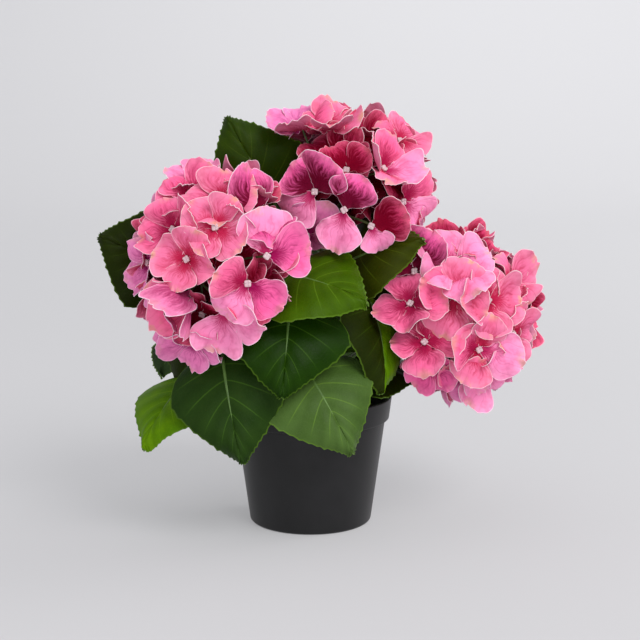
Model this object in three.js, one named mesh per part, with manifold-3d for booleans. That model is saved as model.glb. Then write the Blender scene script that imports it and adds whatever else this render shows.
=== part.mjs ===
// An artificial hydrangea in its pot: three blossom heads and eight sprays of large toothed leaves on a
// forked plastic stem, which stands on the ballast that fills a tapered pot with a deep rim.
// Millimetres, +Z up. The origin is the centre of the pot's flat underside, and -Y is the front.
import * as THREE from "three";
import { mergeVertices } from "three/addons/utils/BufferGeometryUtils.js";
import Module from "manifold-3d";

const wasm = await Module();
wasm.setup();

// ---- Driving sizes -------------------------------------------------------------------------------

const GAP = 0.3; // between a piece and what carries it
const SLIVER = 0.01; // edges shorter than this are closed up where solids are joined

const POT = {
  height: 95,
  rimRadius: 60.5, // outside, at the top
  bandRadius: 58.4, // outside, at the rim's lower edge
  bandHeight: 17,
  bodyRadius: 55.6, // outside, just under the rim
  baseRadius: 45,
  edgeRound: 2.4, // of the underside's edge
  edgeBreak: 0.9, // of the rim's edges
  wall: 2,
  segments: 36,
};
const FILL_TOP = 83;

const STEM = { footRadius: 10, flareHeight: 6, radius: 8.6, tipRadius: 8.2, height: 32, sides: 12 };
const FORK = FILL_TOP + GAP + STEM.height;

const BOUGH = {
  footRadius: 3.5,
  tipRadius: 2.6,
  offset: 4.6, // of its foot from the middle of the fork
  rise: 0.38, // how far it first runs straight up, as a share of its reach
  bend: 0.34, // how far it last runs along its head's pole, as a share of its reach
  end: 0.5, // how deep in its head it ends, as a share of the head's reach along the pole
  sides: 8,
  steps: 9,
};
const STALK = { footRadius: 2.6, tipRadius: 3.6, sides: 8, steps: 1 }; // carries a head on its bough

const CORE_SHARE = 0.4; // a blossom head's core against its reach
const PEDICEL_RADIUS = 0.9;
const PETAL_SIZES = [1, 0.8, 0.62]; // tried in turn where room is short
const FLORET = {
  inset: { across: 11, along: 9 }, // of the florets' middles from the head's reach
  reach: THREE.MathUtils.degToRad(124), // from a head's pole to its last florets
  dome: 0.94, // how far out the spiral's florets stand, as a share of the front ones' dome
  layer: 0.18, // how far every other floret lies inside the rest, as a share of the reach
  ruffle: 0.03, // the same for chance
  lean: 0.25, // how far it may tip off the dome
  size: 30, // of a petal, on average
  sizeSpread: 2,
  turnSpread: 0.8,
  petalTurnSpread: 0.12,
  thickness: 1.2, // at the hub
  bead: 1.7, // how far the pedicel's end stands up in the middle
  apart: 24, // a floret of the spiral nearer than this to a front one is left out
  aside: 38, // and one nearer than this stands back by this share of the dome
  yield: 0.12,
  notch: 0.1, // how far the gap between two petals runs from the hub, against a petal's length
  notchAngle: 0.03, // half its width
};
const LARGE_PETAL = { length: 1.04, width: 1 }; // against the floret's petal size
const SMALL_PETAL = { length: 0.88, width: 0.9 };
const PETAL_OUTLINE = [[0.42, -1], [0.86, -1], [1, 0], [0.86, 1], [0.42, 1]]; // along and across
const GOLDEN_ANGLE = Math.PI * (3 - Math.sqrt(5));

const LEAF = {
  thickness: 1.1,
  rows: 7,
  columns: 4,
  widest: 0.4, // where along its length
  stub: 0.1, // half width at the foot, against the greatest
  arch: 0.34, // how far it arches along its length
  fold: 0.07, // how far its halves lift from the midrib
  droop: 0.15, // how far its margins turn down
  tooth: 0.035, // how far every other edge point stands out, as a share of the half width
};
const PETIOLE = { footRadius: 1.5, tipRadius: 1.2, sides: 4, steps: 4, sunk: 0.14 };
const SHOOT = { footRadius: 2.1, tipRadius: 1.7, sides: 6, steps: 3 };

const PETAL_CLEARANCE = 3.2; // from a leaf
const LIMB_CLEARANCE = 1.6; // of a petal or a pedicel from a limb
const POT_CLEARANCE = 2;
const SPACE_CLEARANCE = 0.03; // between two heads, as a share of their reach
const OVERREACH = 1.0; // how far out the spiral's petals may go, against the head's reach

// A head's centre, the way its pole points (degrees round from the front and up), how far its petals
// reach across and along the pole, and the number of florets in its spiral. Each front floret has a
// place of its own, given from the head's centre like a pole, how far out it stands there against the
// spiral's dome, the way it faces, its turn about that, its petals' size and how far each is cupped.
// A petal whose cup is null is left out.
const HEADS = {
  left: {
    centre: [-65, -54, 204],
    pole: [-50, 15],
    across: 75,
    along: 54,
    florets: 15,
    seed: 3,
    front: [
      { place: [3, 29], depth: 1.06, faces: [-12, 20], turn: 150, size: 26, cups: [0.2, 0.3, 0.2, 0.3] },
      { place: [-20, 7], depth: 1.02, faces: [-24, 8], turn: 168, size: 26, cups: [0.25, 0.7, 0.6, 0.5] },
      { place: [36, 8], depth: 0.98, faces: [12, 8], turn: 94, size: 34, cups: [0.2, null, null, 0.3] },
      { place: [22, -7], depth: 1.05, faces: [0, -4], turn: 236, size: 31, cups: [0.22, 0.22, null, 1.0] },
      { place: [-47, 32], depth: 0.96, faces: [-36, 18], turn: 200, size: 29, cups: [0.3, 0.3, 0.5, 0.6] },
      { place: [10, -30], depth: 0.93, faces: [-10, -26], turn: 250, size: 33, cups: [0.3, 0.5, null, null] },
      { place: [-22, -20], depth: 0.96, faces: [-58, -34], turn: 215, size: 29, cups: [1.0, 0.9, 1.0, 0.9] },
      { place: [-51, -40], depth: 0.94, faces: [-58, -20], turn: 30, size: 28, cups: [0.7, 0.4, 0.3, 0.6] },
      { place: [-80, -2], depth: 0.96, faces: [-66, 4], turn: 45, size: 27, cups: [0.4, 0.5, 0.4, 0.5] },
      { place: [11, 57], depth: 0.88, faces: [-8, 44], turn: 100, size: 29, cups: [0.4, 0.4, 0.5, 0.5] },
      { place: [42, 38], depth: 0.9, faces: [18, 44], turn: 100, size: 31, cups: [0.7, 0.6, 0.4, null] },
      { place: [-64, 66], depth: 0.9, faces: [-28, 46], turn: 60, size: 26, cups: [0.5, 0.6, 0.5, 0.4] },
      { place: [-125, 70], depth: 0.96, faces: [-14, 58], turn: 90, size: 25, cups: [0.4, 0.4, 0.4, 0.4] },
      { place: [-32, -62], depth: 0.98, faces: [-20, -44], turn: 250, size: 27, cups: [0.3, 0.4, 0.4, 0.4] },
    ],
  },
  top: {
    centre: [29, 5, 249],
    pole: [12, 42],
    across: 66,
    along: 62,
    florets: 17,
    seed: 11,
    front: [
      { place: [-26, 1], depth: 1.06, faces: [-14, 8], turn: 228, size: 32, cups: [0.2, null, 0.8, 0.35] },
      { place: [-5, -11], depth: 1.06, faces: [-8, 2], turn: 250, size: 29, cups: [0.22, null, 0.5, null] },
      { place: [-4, 17], depth: 0.98, faces: [-2, 36], turn: 124, size: 25, cups: [0.7, null, null, 0.7] },
      { place: [15, -23], depth: 1.06, faces: [4, -4], turn: 292, size: 34, cups: [0.25, 0.6, null, null] },
      { place: [44, -8], depth: 0.96, faces: [40, 0], turn: 318, size: 33, cups: [0.2, 0.25, null, null] },
      { place: [-34, 60], depth: 0.92, faces: [4, 60], turn: 82, size: 27, cups: [0.5, 0.5, 1.1, 0.6] },
      { place: [27, 18], depth: 0.96, faces: [44, 40], turn: 150, size: 29, cups: [0.9, 0.8, 0.8, 0.9] },
      { place: [70, 42], depth: 0.92, faces: [42, 38], turn: 50, size: 25, cups: [0.5, 0.5, 0.4, 0.5] },
      { place: [-40, -33], depth: 1.04, faces: [-20, -14], turn: 240, size: 31, cups: [0.2, 0.3, 0.4, 0.4] },
      { place: [-64, 48], depth: 1.05, faces: [-30, 58], turn: 200, size: 27, cups: [0.5, 1.0, 0.6, 0.4] },
      { place: [-100, 34], depth: 1.1, faces: [-60, 60], turn: 40, size: 24, cups: [0.4, 0.4, 0.4, 0.4] },
    ],
  },
  right: {
    centre: [109, 10, 156],
    pole: [42, 15],
    across: 72,
    along: 56,
    florets: 15,
    seed: 23,
    front: [
      { place: [-37, 12], depth: 1.06, faces: [-20, 38], turn: 200, size: 30, cups: [0.2, 0.25, 0.2, 0.4] },
      { place: [-27, -13], depth: 1.04, faces: [-14, 36], turn: 190, size: 30, cups: [0.2, 0.3, 0.2, 0.5] },
      { place: [-43, 35], depth: 1.0, faces: [-28, 26], turn: 60, size: 32, cups: [0.4, 0.6, null, null] },
      { place: [-8, 44], depth: 1.0, faces: [2, 38], turn: 112, size: 33, cups: [0.22, 0.5, 0.4, 0.3] },
      { place: [13, -21], depth: 1.02, faces: [14, -4], turn: 340, size: 32, cups: [0.2, 0.5, 0.8, 0.3] },
      { place: [23, 18], depth: 1.0, faces: [24, 14], turn: 0, size: 31, cups: [0.25, 0.3, 0.5, 0.4] },
      { place: [27, -46], depth: 0.98, faces: [20, -30], turn: 250, size: 26, cups: [0.3, 0.4, 0.6, 0.5] },
      { place: [-6, 20], depth: 0.98, faces: [-2, 14], turn: 60, size: 31, cups: [0.4, 0.4, 0.3, 0.5] },
      { place: [-25, -34], depth: 0.96, faces: [-14, -26], turn: 215, size: 23, cups: [0.4, 0.5, 0.4, 0.4] },
      { place: [71, 30], depth: 0.9, faces: [56, 24], turn: 20, size: 28, cups: [0.4, 0.5, 0.4, 0.5] },
      { place: [56, -15], depth: 0.93, faces: [44, -8], turn: 100, size: 29, cups: [0.3, 0.4, 0.3, 0.4] },
      { place: [4, -46], depth: 0.94, faces: [2, -34], turn: 235, size: 23, cups: [0.4, 0.4, 0.4, 0.4] },
    ],
  },
};

// A spray's leaves grow from one knot on a short shoot. The shoot leaves its limb at a share of the
// limb's length. Each leaf runs from the end of its petiole to its tip, and its upper side faces
// the way given in degrees round from the front and up.
const SPRAYS = {
  front: {
    limb: "bough_top",
    share: 0.22,
    knot: [-6, -32, 160],
    leaves: [
      { base: [-14, -58, 176], tip: [-19, -96, 114], faces: [6, 22], width: 88 },
      { base: [-22, -50, 192], tip: [39, -90, 179], faces: [8, 48], width: 82 },
      { base: [-7, -54, 131], tip: [30, -86, 72], faces: [15, 15], width: 82 },
    ],
  },
  left: {
    limb: "bough_left",
    share: 0.35,
    knot: [-58, -38, 141],
    leaves: [
      { base: [-62, -58, 141], tip: [-47, -88, 65], faces: [-10, 14], width: 86 },
      { base: [-84, -22, 114], tip: [-119, -62, 70], faces: [-42, 34], width: 74 },
      { base: [-78, -18, 158], tip: [-86, -28, 84], faces: [-30, 4], width: 52 },
    ],
  },
  upper_left: {
    limb: "bough_left",
    share: 0.6,
    knot: [-52, 8, 166],
    leaves: [
      { base: [-98, 6, 189], tip: [-153, -10, 214], faces: [-15, 14], width: 80 },
      { base: [-78, 30, 150], tip: [-118, 58, 98], faces: [-125, 30], width: 80 },
    ],
  },
  crown: {
    limb: "bough_top",
    share: 0.72,
    knot: [2, 2, 205],
    leaves: [
      { base: [-21, -2, 228], tip: [-60, -6, 300], faces: [-8, 26], width: 80 },
      { base: [22, -14, 193], tip: [79, -46, 217], faces: [-24, 34], width: 68 },
    ],
  },
  right: {
    limb: "bough_right",
    share: 0.25,
    knot: [26, -16, 158],
    leaves: [
      { base: [42, -24, 172], tip: [52, -56, 108], faces: [50, 6], width: 73 },
      { base: [34, -4, 170], tip: [88, 22, 200], faces: [10, 70], width: 60 },
    ],
  },
  low_right: {
    limb: "main_stem",
    share: 0.45,
    knot: [20, 6, 112],
    leaves: [
      { base: [28, 2, 112], tip: [84, 4, 108], faces: [0, 72], width: 72 },
      { base: [36, 34, 120], tip: [74, 82, 92], faces: [140, 42], width: 82 },
    ],
  },
  back: {
    limb: "bough_top",
    share: 0.35,
    knot: [2, 36, 168],
    leaves: [
      { base: [8, 58, 158], tip: [0, 98, 88], faces: [182, 22], width: 86 },
      { base: [10, 54, 196], tip: [-2, 104, 152], faces: [176, 46], width: 80 },
      { base: [34, 54, 172], tip: [88, 92, 158], faces: [150, 50], width: 78 },
    ],
  },
  back_left: {
    limb: "main_stem",
    share: 0.7,
    knot: [-20, 22, 128],
    leaves: [
      { base: [-38, 44, 142], tip: [-66, 84, 84], faces: [206, 20], width: 84 },
      { base: [-46, 38, 184], tip: [-96, 70, 188], faces: [216, 50], width: 74 },
    ],
  },
};

const COLOURS = {
  pot: 0x2b2b2d,
  fill: 0x2a211a,
  stem: 0x3c5a22,
  leaf: 0x2c5a22,
  petal: 0xd9608f,
};

// ---- Small helpers -------------------------------------------------------------------------------

const vector = (xyz) => new THREE.Vector3(...xyz);
const UP = new THREE.Vector3(0, 0, 1);

// The direction that lies a number of degrees round from the front, towards +X, and up.
function direction([round, up]) {
  const a = THREE.MathUtils.degToRad(round);
  const e = THREE.MathUtils.degToRad(up);
  return new THREE.Vector3(Math.sin(a) * Math.cos(e), -Math.cos(a) * Math.cos(e), Math.sin(e));
}

// A repeatable value from -1 to 1 for each seed and index.
function scatter(seed, index) {
  const wave = Math.sin(seed * 12.9898 + index * 78.233) * 43758.5453;
  return 2 * (wave - Math.floor(wave)) - 1;
}

function geometryOf(points, triangles) {
  const made = new THREE.BufferGeometry();
  const flat = points.flatMap((p) => [p.x, p.y, p.z]);
  made.setAttribute("position", new THREE.Float32BufferAttribute(flat, 3));
  made.setIndex(triangles);
  return made;
}

function solidOf(geometry) {
  const bare = geometry.clone();
  bare.deleteAttribute("normal");
  bare.deleteAttribute("uv");
  const merged = mergeVertices(bare, 1e-4);
  const index = merged.index.array;
  const kept = [];
  for (let i = 0; i < index.length; i += 3) {
    const [a, b, c] = [index[i], index[i + 1], index[i + 2]];
    if (a !== b && b !== c && a !== c) kept.push(a, b, c);
  }
  return new wasm.Manifold(
    new wasm.Mesh({
      numProp: 3,
      vertProperties: new Float32Array(merged.attributes.position.array),
      triVerts: new Uint32Array(kept),
    }),
  );
}

// The pieces joined into one solid. Loose scraps are dropped and sealed hollows are filled.
function fused(solids) {
  const bodies = wasm.Manifold.union(solids).asOriginal().simplify(SLIVER).decompose();
  const whole = bodies.reduce((a, b) => (b.volume() > a.volume() ? b : a));
  const mesh = whole.getMesh();
  const points = [];
  for (let i = 0; i < mesh.numVert; i += 1) {
    const at = i * mesh.numProp;
    points.push(vector(mesh.vertProperties.subarray(at, at + 3)));
  }
  return geometryOf(points, [...mesh.triVerts]);
}

// ---- Limbs ---------------------------------------------------------------------------------------

// A closed round limb along a curve, whose radius runs from foot to tip. The rings keep level with
// the curve's own frame, so the limb never twists.
function limbGeometry(curve, { footRadius, tipRadius, sides, steps }) {
  const frames = curve.computeFrenetFrames(steps, false);
  const points = [];
  const triangles = [];
  for (let i = 0; i <= steps; i += 1) {
    const share = i / steps;
    const centre = curve.getPointAt(share);
    const radius = THREE.MathUtils.lerp(footRadius, tipRadius, share);
    for (let k = 0; k < sides; k += 1) {
      const turn = (k / sides) * 2 * Math.PI;
      const out = frames.normals[i]
        .clone()
        .multiplyScalar(Math.cos(turn) * radius)
        .addScaledVector(frames.binormals[i], Math.sin(turn) * radius);
      points.push(centre.clone().add(out));
    }
  }
  const ring = (i, k) => i * sides + (k % sides);
  for (let i = 0; i < steps; i += 1) {
    for (let k = 0; k < sides; k += 1) {
      const quad = [ring(i, k), ring(i, k + 1), ring(i + 1, k + 1), ring(i + 1, k)];
      triangles.push(quad[0], quad[1], quad[2], quad[0], quad[2], quad[3]);
    }
  }
  for (let k = 1; k < sides - 1; k += 1) {
    triangles.push(ring(0, 0), ring(0, k + 1), ring(0, k));
    triangles.push(ring(steps, 0), ring(steps, k), ring(steps, k + 1));
  }
  return geometryOf(points, triangles);
}

// A slim three-sided twig between two points.
function twigGeometry(from, to, radius) {
  const line = new THREE.LineCurve3(from, to);
  return limbGeometry(line, { footRadius: radius, tipRadius: radius, sides: 3, steps: 1 });
}

const STEM_LINE = new THREE.LineCurve3(
  new THREE.Vector3(0, 0, FILL_TOP + GAP),
  new THREE.Vector3(0, 0, FORK),
);

// A head's bough stands on the fork and bends until it runs along the head's pole.
function boughCurve(head, footAngle) {
  const pole = direction(head.pole);
  const foot = new THREE.Vector3(
    Math.cos(footAngle) * BOUGH.offset,
    Math.sin(footAngle) * BOUGH.offset,
    FORK + GAP,
  );
  const tip = vector(head.centre).addScaledVector(pole, -head.along * BOUGH.end);
  const reach = foot.distanceTo(tip);
  return new THREE.CubicBezierCurve3(
    foot,
    foot.clone().addScaledVector(UP, reach * BOUGH.rise),
    tip.clone().addScaledVector(pole, -reach * BOUGH.bend),
    tip,
  );
}

const BOUGHS = {
  bough_left: boughCurve(HEADS.left, THREE.MathUtils.degToRad(215)),
  bough_top: boughCurve(HEADS.top, THREE.MathUtils.degToRad(95)),
  bough_right: boughCurve(HEADS.right, THREE.MathUtils.degToRad(335)),
};

// ---- Leaves --------------------------------------------------------------------------------------

// A leaf's half width along its length, as a share of the greatest: a round foot, then nearly
// straight edges from the widest place to a blunt tip.
function leafBreadth(s) {
  if (s < LEAF.widest) {
    return LEAF.stub + (1 - LEAF.stub) * Math.sqrt(1 - ((LEAF.widest - s) / LEAF.widest) ** 2);
  }
  return Math.max(0.015, 1 - ((s - LEAF.widest) / (1 - LEAF.widest)) ** 1.32);
}

// How far the blade stands off the flat, as a share of its length.
function leafRise(s, v) {
  const across = Math.abs(v);
  return LEAF.arch * s * (1 - s) + LEAF.fold * across - LEAF.droop * across * across;
}

// Where a leaf's blade lies: its foot, its three directions, its length and its half width.
function leafFrame(leaf) {
  const base = vector(leaf.base);
  const along = vector(leaf.tip).sub(base);
  const length = along.length();
  along.normalize();
  const normal = direction(leaf.faces);
  normal.addScaledVector(along, -normal.dot(along)).normalize();
  const across = new THREE.Vector3().crossVectors(normal, along);
  return { base, along, across, normal, length, half: leaf.width / 2 };
}

function leafGeometry(leaf) {
  const frame = leafFrame(leaf);
  const { rows, columns, tooth, thickness } = LEAF;
  const points = [];
  const sheet = [1, -1].map((side) => {
    const first = points.length;
    for (let i = 0; i <= rows; i += 1) {
      for (let j = 0; j <= columns; j += 1) {
        const s = i / rows;
        const v = (2 * j) / columns - 1;
        const edge = Math.abs(v) === 1;
        const margin = edge || i === 0 || i === rows;
        const breadth = leafBreadth(s) * (edge ? 1 + tooth * (i % 2 ? 1 : -1) : 1);
        const lift = leafRise(s, v) * frame.length + (margin ? 0 : (side * thickness) / 2);
        points.push(
          frame.base
            .clone()
            .addScaledVector(frame.along, s * frame.length)
            .addScaledVector(frame.across, v * breadth * frame.half)
            .addScaledVector(frame.normal, lift),
        );
      }
    }
    return first;
  });
  const triangles = [];
  for (let i = 0; i < rows; i += 1) {
    for (let j = 0; j < columns; j += 1) {
      const a = i * (columns + 1) + j;
      const b = a + columns + 1;
      const [c, d] = [b + 1, a + 1];
      triangles.push(...[a, b, c, a, c, d].map((k) => k + sheet[0]));
      triangles.push(...[a, c, b, a, d, c].map((k) => k + sheet[1]));
    }
  }
  return geometryOf(points, triangles);
}

// A petiole bends from the knot until it runs along the blade, and ends sunk in it.
function petioleCurve(knot, leaf) {
  const frame = leafFrame(leaf);
  const reach = knot.distanceTo(frame.base);
  const end = frame.base
    .clone()
    .addScaledVector(frame.along, PETIOLE.sunk * frame.length)
    .addScaledVector(frame.normal, leafRise(PETIOLE.sunk, 0) * frame.length);
  const inward = end.clone().sub(frame.base).normalize();
  return new THREE.CubicBezierCurve3(
    knot,
    knot.clone().lerp(frame.base, 0.4).addScaledVector(UP, reach * 0.12),
    frame.base.clone().addScaledVector(inward, -reach * 0.3),
    end,
  );
}

// Where a spray's shoot meets its limb: just clear of the limb's side, towards the knot.
function shootFoot(spray) {
  const line = spray.limb === "main_stem" ? STEM_LINE : BOUGHS[spray.limb];
  const on = line.getPointAt(spray.share);
  const axis = line.getTangentAt(spray.share);
  const out = vector(spray.knot).sub(on);
  out.addScaledVector(axis, -out.dot(axis)).normalize();
  const radius =
    spray.limb === "main_stem"
      ? STEM.radius
      : THREE.MathUtils.lerp(BOUGH.footRadius, BOUGH.tipRadius, spray.share);
  return { foot: on.addScaledVector(out, radius + GAP), out };
}

function shootCurve(spray) {
  const knot = vector(spray.knot);
  const { foot, out } = shootFoot(spray);
  const bend = foot.clone().addScaledVector(out, foot.distanceTo(knot) * 0.4);
  return new THREE.QuadraticBezierCurve3(foot, bend, knot);
}

function sprayGeometry(spray) {
  const solids = [solidOf(limbGeometry(shootCurve(spray), SHOOT))];
  spray.leaves.forEach((leaf) => {
    solids.push(solidOf(limbGeometry(petioleCurve(vector(spray.knot), leaf), PETIOLE)));
    solids.push(solidOf(leafGeometry(leaf)));
  });
  return fused(solids);
}

// ---- What a petal keeps clear of -----------------------------------------------------------------

const LEAVES = Object.values(SPRAYS).flatMap((spray) => spray.leaves.map(leafFrame));

function clearOfLeaves(point) {
  return LEAVES.every((frame) => {
    const from = point.clone().sub(frame.base);
    const s = from.dot(frame.along) / frame.length;
    if (s < -0.04 || s > 1.04) return true;
    const breadth = leafBreadth(THREE.MathUtils.clamp(s, 0, 1)) * frame.half;
    const v = from.dot(frame.across) / breadth;
    if (Math.abs(v) > 1 + PETAL_CLEARANCE / breadth) return true;
    const lift = leafRise(s, THREE.MathUtils.clamp(v, -1, 1)) * frame.length;
    return Math.abs(from.dot(frame.normal) - lift) > PETAL_CLEARANCE;
  });
}

// Points along each limb, shoot and petiole, with the radius there.
function limbBeads() {
  const beads = [];
  const string = (curve, radius, count) =>
    curve.getSpacedPoints(count).forEach((at) => beads.push({ at, radius }));
  Object.values(BOUGHS).forEach((curve) => string(curve, BOUGH.footRadius, 60));
  Object.values(SPRAYS).forEach((spray) => {
    string(shootCurve(spray), SHOOT.footRadius, 20);
    spray.leaves.forEach((leaf) =>
      string(petioleCurve(vector(spray.knot), leaf), PETIOLE.footRadius, 24),
    );
  });
  return beads;
}
const LIMB_BEADS = limbBeads();

function clearOfLimbs(point) {
  return LIMB_BEADS.every(({ at, radius }) => at.distanceTo(point) > radius + LIMB_CLEARANCE);
}

function clearOfPot(point) {
  const outside = Math.hypot(point.x, point.y) > POT.rimRadius + POT_CLEARANCE;
  return outside || point.z > POT.height + POT_CLEARANCE;
}

// A point's distance from a head's centre against the head's reach that way.
function depthIn(head, point) {
  const from = point.clone().sub(vector(head.centre));
  const up = from.dot(direction(head.pole));
  const out = Math.sqrt(Math.max(0, from.lengthSq() - up * up));
  return Math.hypot(out / head.across, up / head.along);
}

// Each head keeps to its own side of the middle between it and the next.
function inOwnSpace(head, point) {
  const own = depthIn(head, point);
  const others = Object.values(HEADS).filter((other) => other !== head);
  return others.every((other) => depthIn(other, point) > own + SPACE_CLEARANCE);
}

function hasRoom(head, point) {
  const clear = clearOfPot(point) && clearOfLimbs(point) && clearOfLeaves(point);
  return clear && inOwnSpace(head, point);
}

// ---- Blossom heads -------------------------------------------------------------------------------

// A petal's half width along its length: a narrow claw, widest past the middle, and a round end.
function petalBreadth(s) {
  const widest = 0.58;
  if (s < widest) return Math.sin((Math.PI / 2) * (Math.max(0, s) / widest)) ** 0.8;
  return (1 - Math.min(1, (s - widest) / (1 - widest)) ** 2.2) ** 0.6;
}

// How far the front florets' dome reaches from a head's centre along a direction.
function hubReach(head, way) {
  const up = way.dot(direction(head.pole));
  const out = Math.sqrt(Math.max(0, 1 - up * up));
  const { across, along } = FLORET.inset;
  return 1 / Math.hypot(out / (head.across - across), up / (head.along - along));
}

// Two large petals and two smaller ones round a hub, each with its own turn and bend.
function petalsOf(size, turn, cups, toss) {
  const petals = cups.map((cup, p) => {
    const shape = p % 2 ? SMALL_PETAL : LARGE_PETAL;
    return {
      angle: (p * Math.PI) / 2 + turn + FLORET.petalTurnSpread * toss(6 + p),
      length: size * shape.length,
      width: size * shape.width,
      cup,
      hollow: 0.1 + 0.1 * toss(14 + p),
      curl: 0.16 + 0.16 * toss(18 + p),
    };
  });
  return petals.filter((petal) => petal.cup !== null);
}

// The florets that a head turns to the front.
function frontFlorets(head) {
  return head.front.map((plan, k) => {
    const toss = (n) => scatter(head.seed + 61 + n, k);
    const way = direction(plan.place);
    const hub = vector(head.centre).addScaledVector(way, hubReach(head, way) * plan.depth);
    const normal = direction(plan.faces);
    const east = new THREE.Vector3().crossVectors(UP, normal).normalize();
    const north = new THREE.Vector3().crossVectors(normal, east);
    const petals = petalsOf(plan.size, THREE.MathUtils.degToRad(plan.turn), plan.cups, toss);
    return { hub, normal, east, north, petals, limit: Infinity };
  });
}

// The other florets stand on a flattened dome in a spiral from its pole, each tipped a little off it.
function spiralFlorets(head, front) {
  const pole = direction(head.pole);
  const side = new THREE.Vector3().crossVectors(UP, pole).normalize();
  const fore = new THREE.Vector3().crossVectors(pole, side);
  const across = head.across - FLORET.inset.across;
  const along = head.along - FLORET.inset.along;
  return Array.from({ length: head.florets }, (_, k) => {
    const toss = (n) => scatter(head.seed + n, k);
    const cosine = 1 - ((k + 0.5) / head.florets) * (1 - Math.cos(FLORET.reach));
    const sine = Math.sqrt(1 - cosine * cosine);
    const turn = k * GOLDEN_ANGLE + head.seed;
    const round = side.clone().multiplyScalar(Math.cos(turn));
    round.addScaledVector(fore, Math.sin(turn));
    const out = round.clone().multiplyScalar(sine * across).addScaledVector(pole, cosine * along);
    const depth = FLORET.dome - FLORET.layer * (k % 2) - FLORET.ruffle * (1 + toss(1));
    const hub = vector(head.centre).addScaledVector(out, depth);
    const near = Math.min(...front.map((floret) => floret.hub.distanceTo(hub)));
    if (near < FLORET.aside) hub.addScaledVector(out, -FLORET.yield);
    const normal = round.clone().multiplyScalar(sine / across).addScaledVector(pole, cosine / along);
    normal.normalize();
    const east = new THREE.Vector3().crossVectors(normal, round.addScaledVector(pole, 0.3)).normalize();
    normal.addScaledVector(east, FLORET.lean * toss(2)).normalize();
    const north = new THREE.Vector3().crossVectors(normal, east).normalize();
    normal.addScaledVector(north, FLORET.lean * toss(3)).normalize();
    east.crossVectors(north, normal).normalize();
    north.crossVectors(normal, east);
    const size = FLORET.size + FLORET.sizeSpread * toss(4);
    const cups = [0, 1, 2, 3].map((p) => 0.3 + 0.24 * toss(10 + p));
    const petals = petalsOf(size, FLORET.turnSpread * toss(5), cups, toss);
    return { hub, normal, east, north, petals, near, limit: OVERREACH };
  }).filter((floret) => floret.near > FLORET.apart);
}

function floretsOf(head) {
  const front = frontFlorets(head);
  return [...front, ...spiralFlorets(head, front)];
}

// A point of a petal at a share of its length and of its half width.
function petalPoint(floret, petal, s, v) {
  const along = s * petal.length;
  const across = (v * petal.width * petalBreadth(s)) / 2;
  const lift = Math.max(0, s);
  const rise =
    petal.length * (petal.cup * lift ** 1.5 + petal.hollow * v * v * lift - petal.curl * lift ** 4);
  const cos = Math.cos(petal.angle);
  const sin = Math.sin(petal.angle);
  return floret.hub
    .clone()
    .addScaledVector(floret.east, along * cos - across * sin)
    .addScaledVector(floret.north, along * sin + across * cos)
    .addScaledVector(floret.normal, rise);
}

// Half the angle from one petal to the next round the hub.
function halfGap(petal, next) {
  const gap = (next.angle - petal.angle + 2 * Math.PI) % (2 * Math.PI);
  return (gap || 2 * Math.PI) / 2;
}

// A floret is one thin blade: its petals' outlines run round the hub, with a notch between each two,
// and it thins from the hub to the edge. No outline reaches past the notch beside it.
function floretGeometry(floret, petals) {
  const count = petals.length;
  const rim = petals.flatMap((petal, k) => {
    const before = halfGap(petals[(k + count - 1) % count], petal);
    const after = halfGap(petal, petals[(k + 1) % count]);
    const outline = PETAL_OUTLINE.map(([s, v]) => {
      const limit = Math.min(v < 0 ? before : after, Math.PI / 3) - FLORET.notchAngle;
      const spread = (petal.width * petalBreadth(s)) / 2;
      const share = spread > 0 ? Math.min(1, (s * petal.length * Math.tan(limit)) / spread) : 1;
      return petalPoint(floret, petal, s, v * share);
    });
    const notch = { ...petal, angle: petal.angle + after };
    return [...outline, petalPoint(floret, notch, FLORET.notch, 0)];
  });
  const points = [...rim];
  [1, -1].forEach((side) => {
    points.push(floret.hub.clone().addScaledVector(floret.normal, (side * FLORET.thickness) / 2));
  });
  const triangles = [];
  rim.forEach((_, k) => {
    const next = (k + 1) % rim.length;
    triangles.push(rim.length, k, next, rim.length + 1, next, k);
  });
  return geometryOf(points, triangles);
}

function petalFits(head, floret, petal) {
  for (let s = 0.2; s < 1.01; s += 0.2) {
    for (let v = -1; v < 1.01; v += 0.5) {
      const point = petalPoint(floret, petal, s, v);
      if (!hasRoom(head, point) || depthIn(head, point) > floret.limit) return false;
    }
  }
  return true;
}

// A petal that has no room is tried again at smaller sizes, and left out if none fits.
function fittedPetal(head, floret, petal) {
  return PETAL_SIZES.map((size) => ({
    ...petal,
    length: petal.length * size,
    width: petal.width * size,
  })).find((sized) => petalFits(head, floret, sized));
}

function pedicelFits(head, from, hub) {
  for (let share = 0.35; share < 1.01; share += 0.05) {
    const at = from.clone().lerp(hub, share);
    if (!hasRoom(head, at)) return false;
  }
  return true;
}

function headGeometry(head, bough) {
  const centre = vector(head.centre);
  const pole = direction(head.pole);
  const core = new THREE.IcosahedronGeometry(1, 1);
  core.scale(head.across * CORE_SHARE, head.across * CORE_SHARE, head.along * CORE_SHARE);
  core.applyQuaternion(new THREE.Quaternion().setFromUnitVectors(UP, pole));
  core.translate(...head.centre);
  const foot = bough.getPointAt(1).addScaledVector(pole, GAP);
  const stalk = new THREE.LineCurve3(foot, centre);
  const solids = [solidOf(core), solidOf(limbGeometry(stalk, STALK))];
  floretsOf(head).forEach((floret) => {
    const root = centre.clone().lerp(floret.hub, 0.12);
    if (!pedicelFits(head, root, floret.hub)) return;
    const petals = floret.petals.map((petal) => fittedPetal(head, floret, petal)).filter(Boolean);
    if (!petals.length) return;
    const end = floret.hub.clone().addScaledVector(floret.normal, FLORET.bead);
    solids.push(solidOf(twigGeometry(root, end, PEDICEL_RADIUS)));
    solids.push(solidOf(floretGeometry(floret, petals)));
  });
  return fused(solids);
}

// ---- Pot, ballast and main stem ------------------------------------------------------------------

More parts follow.
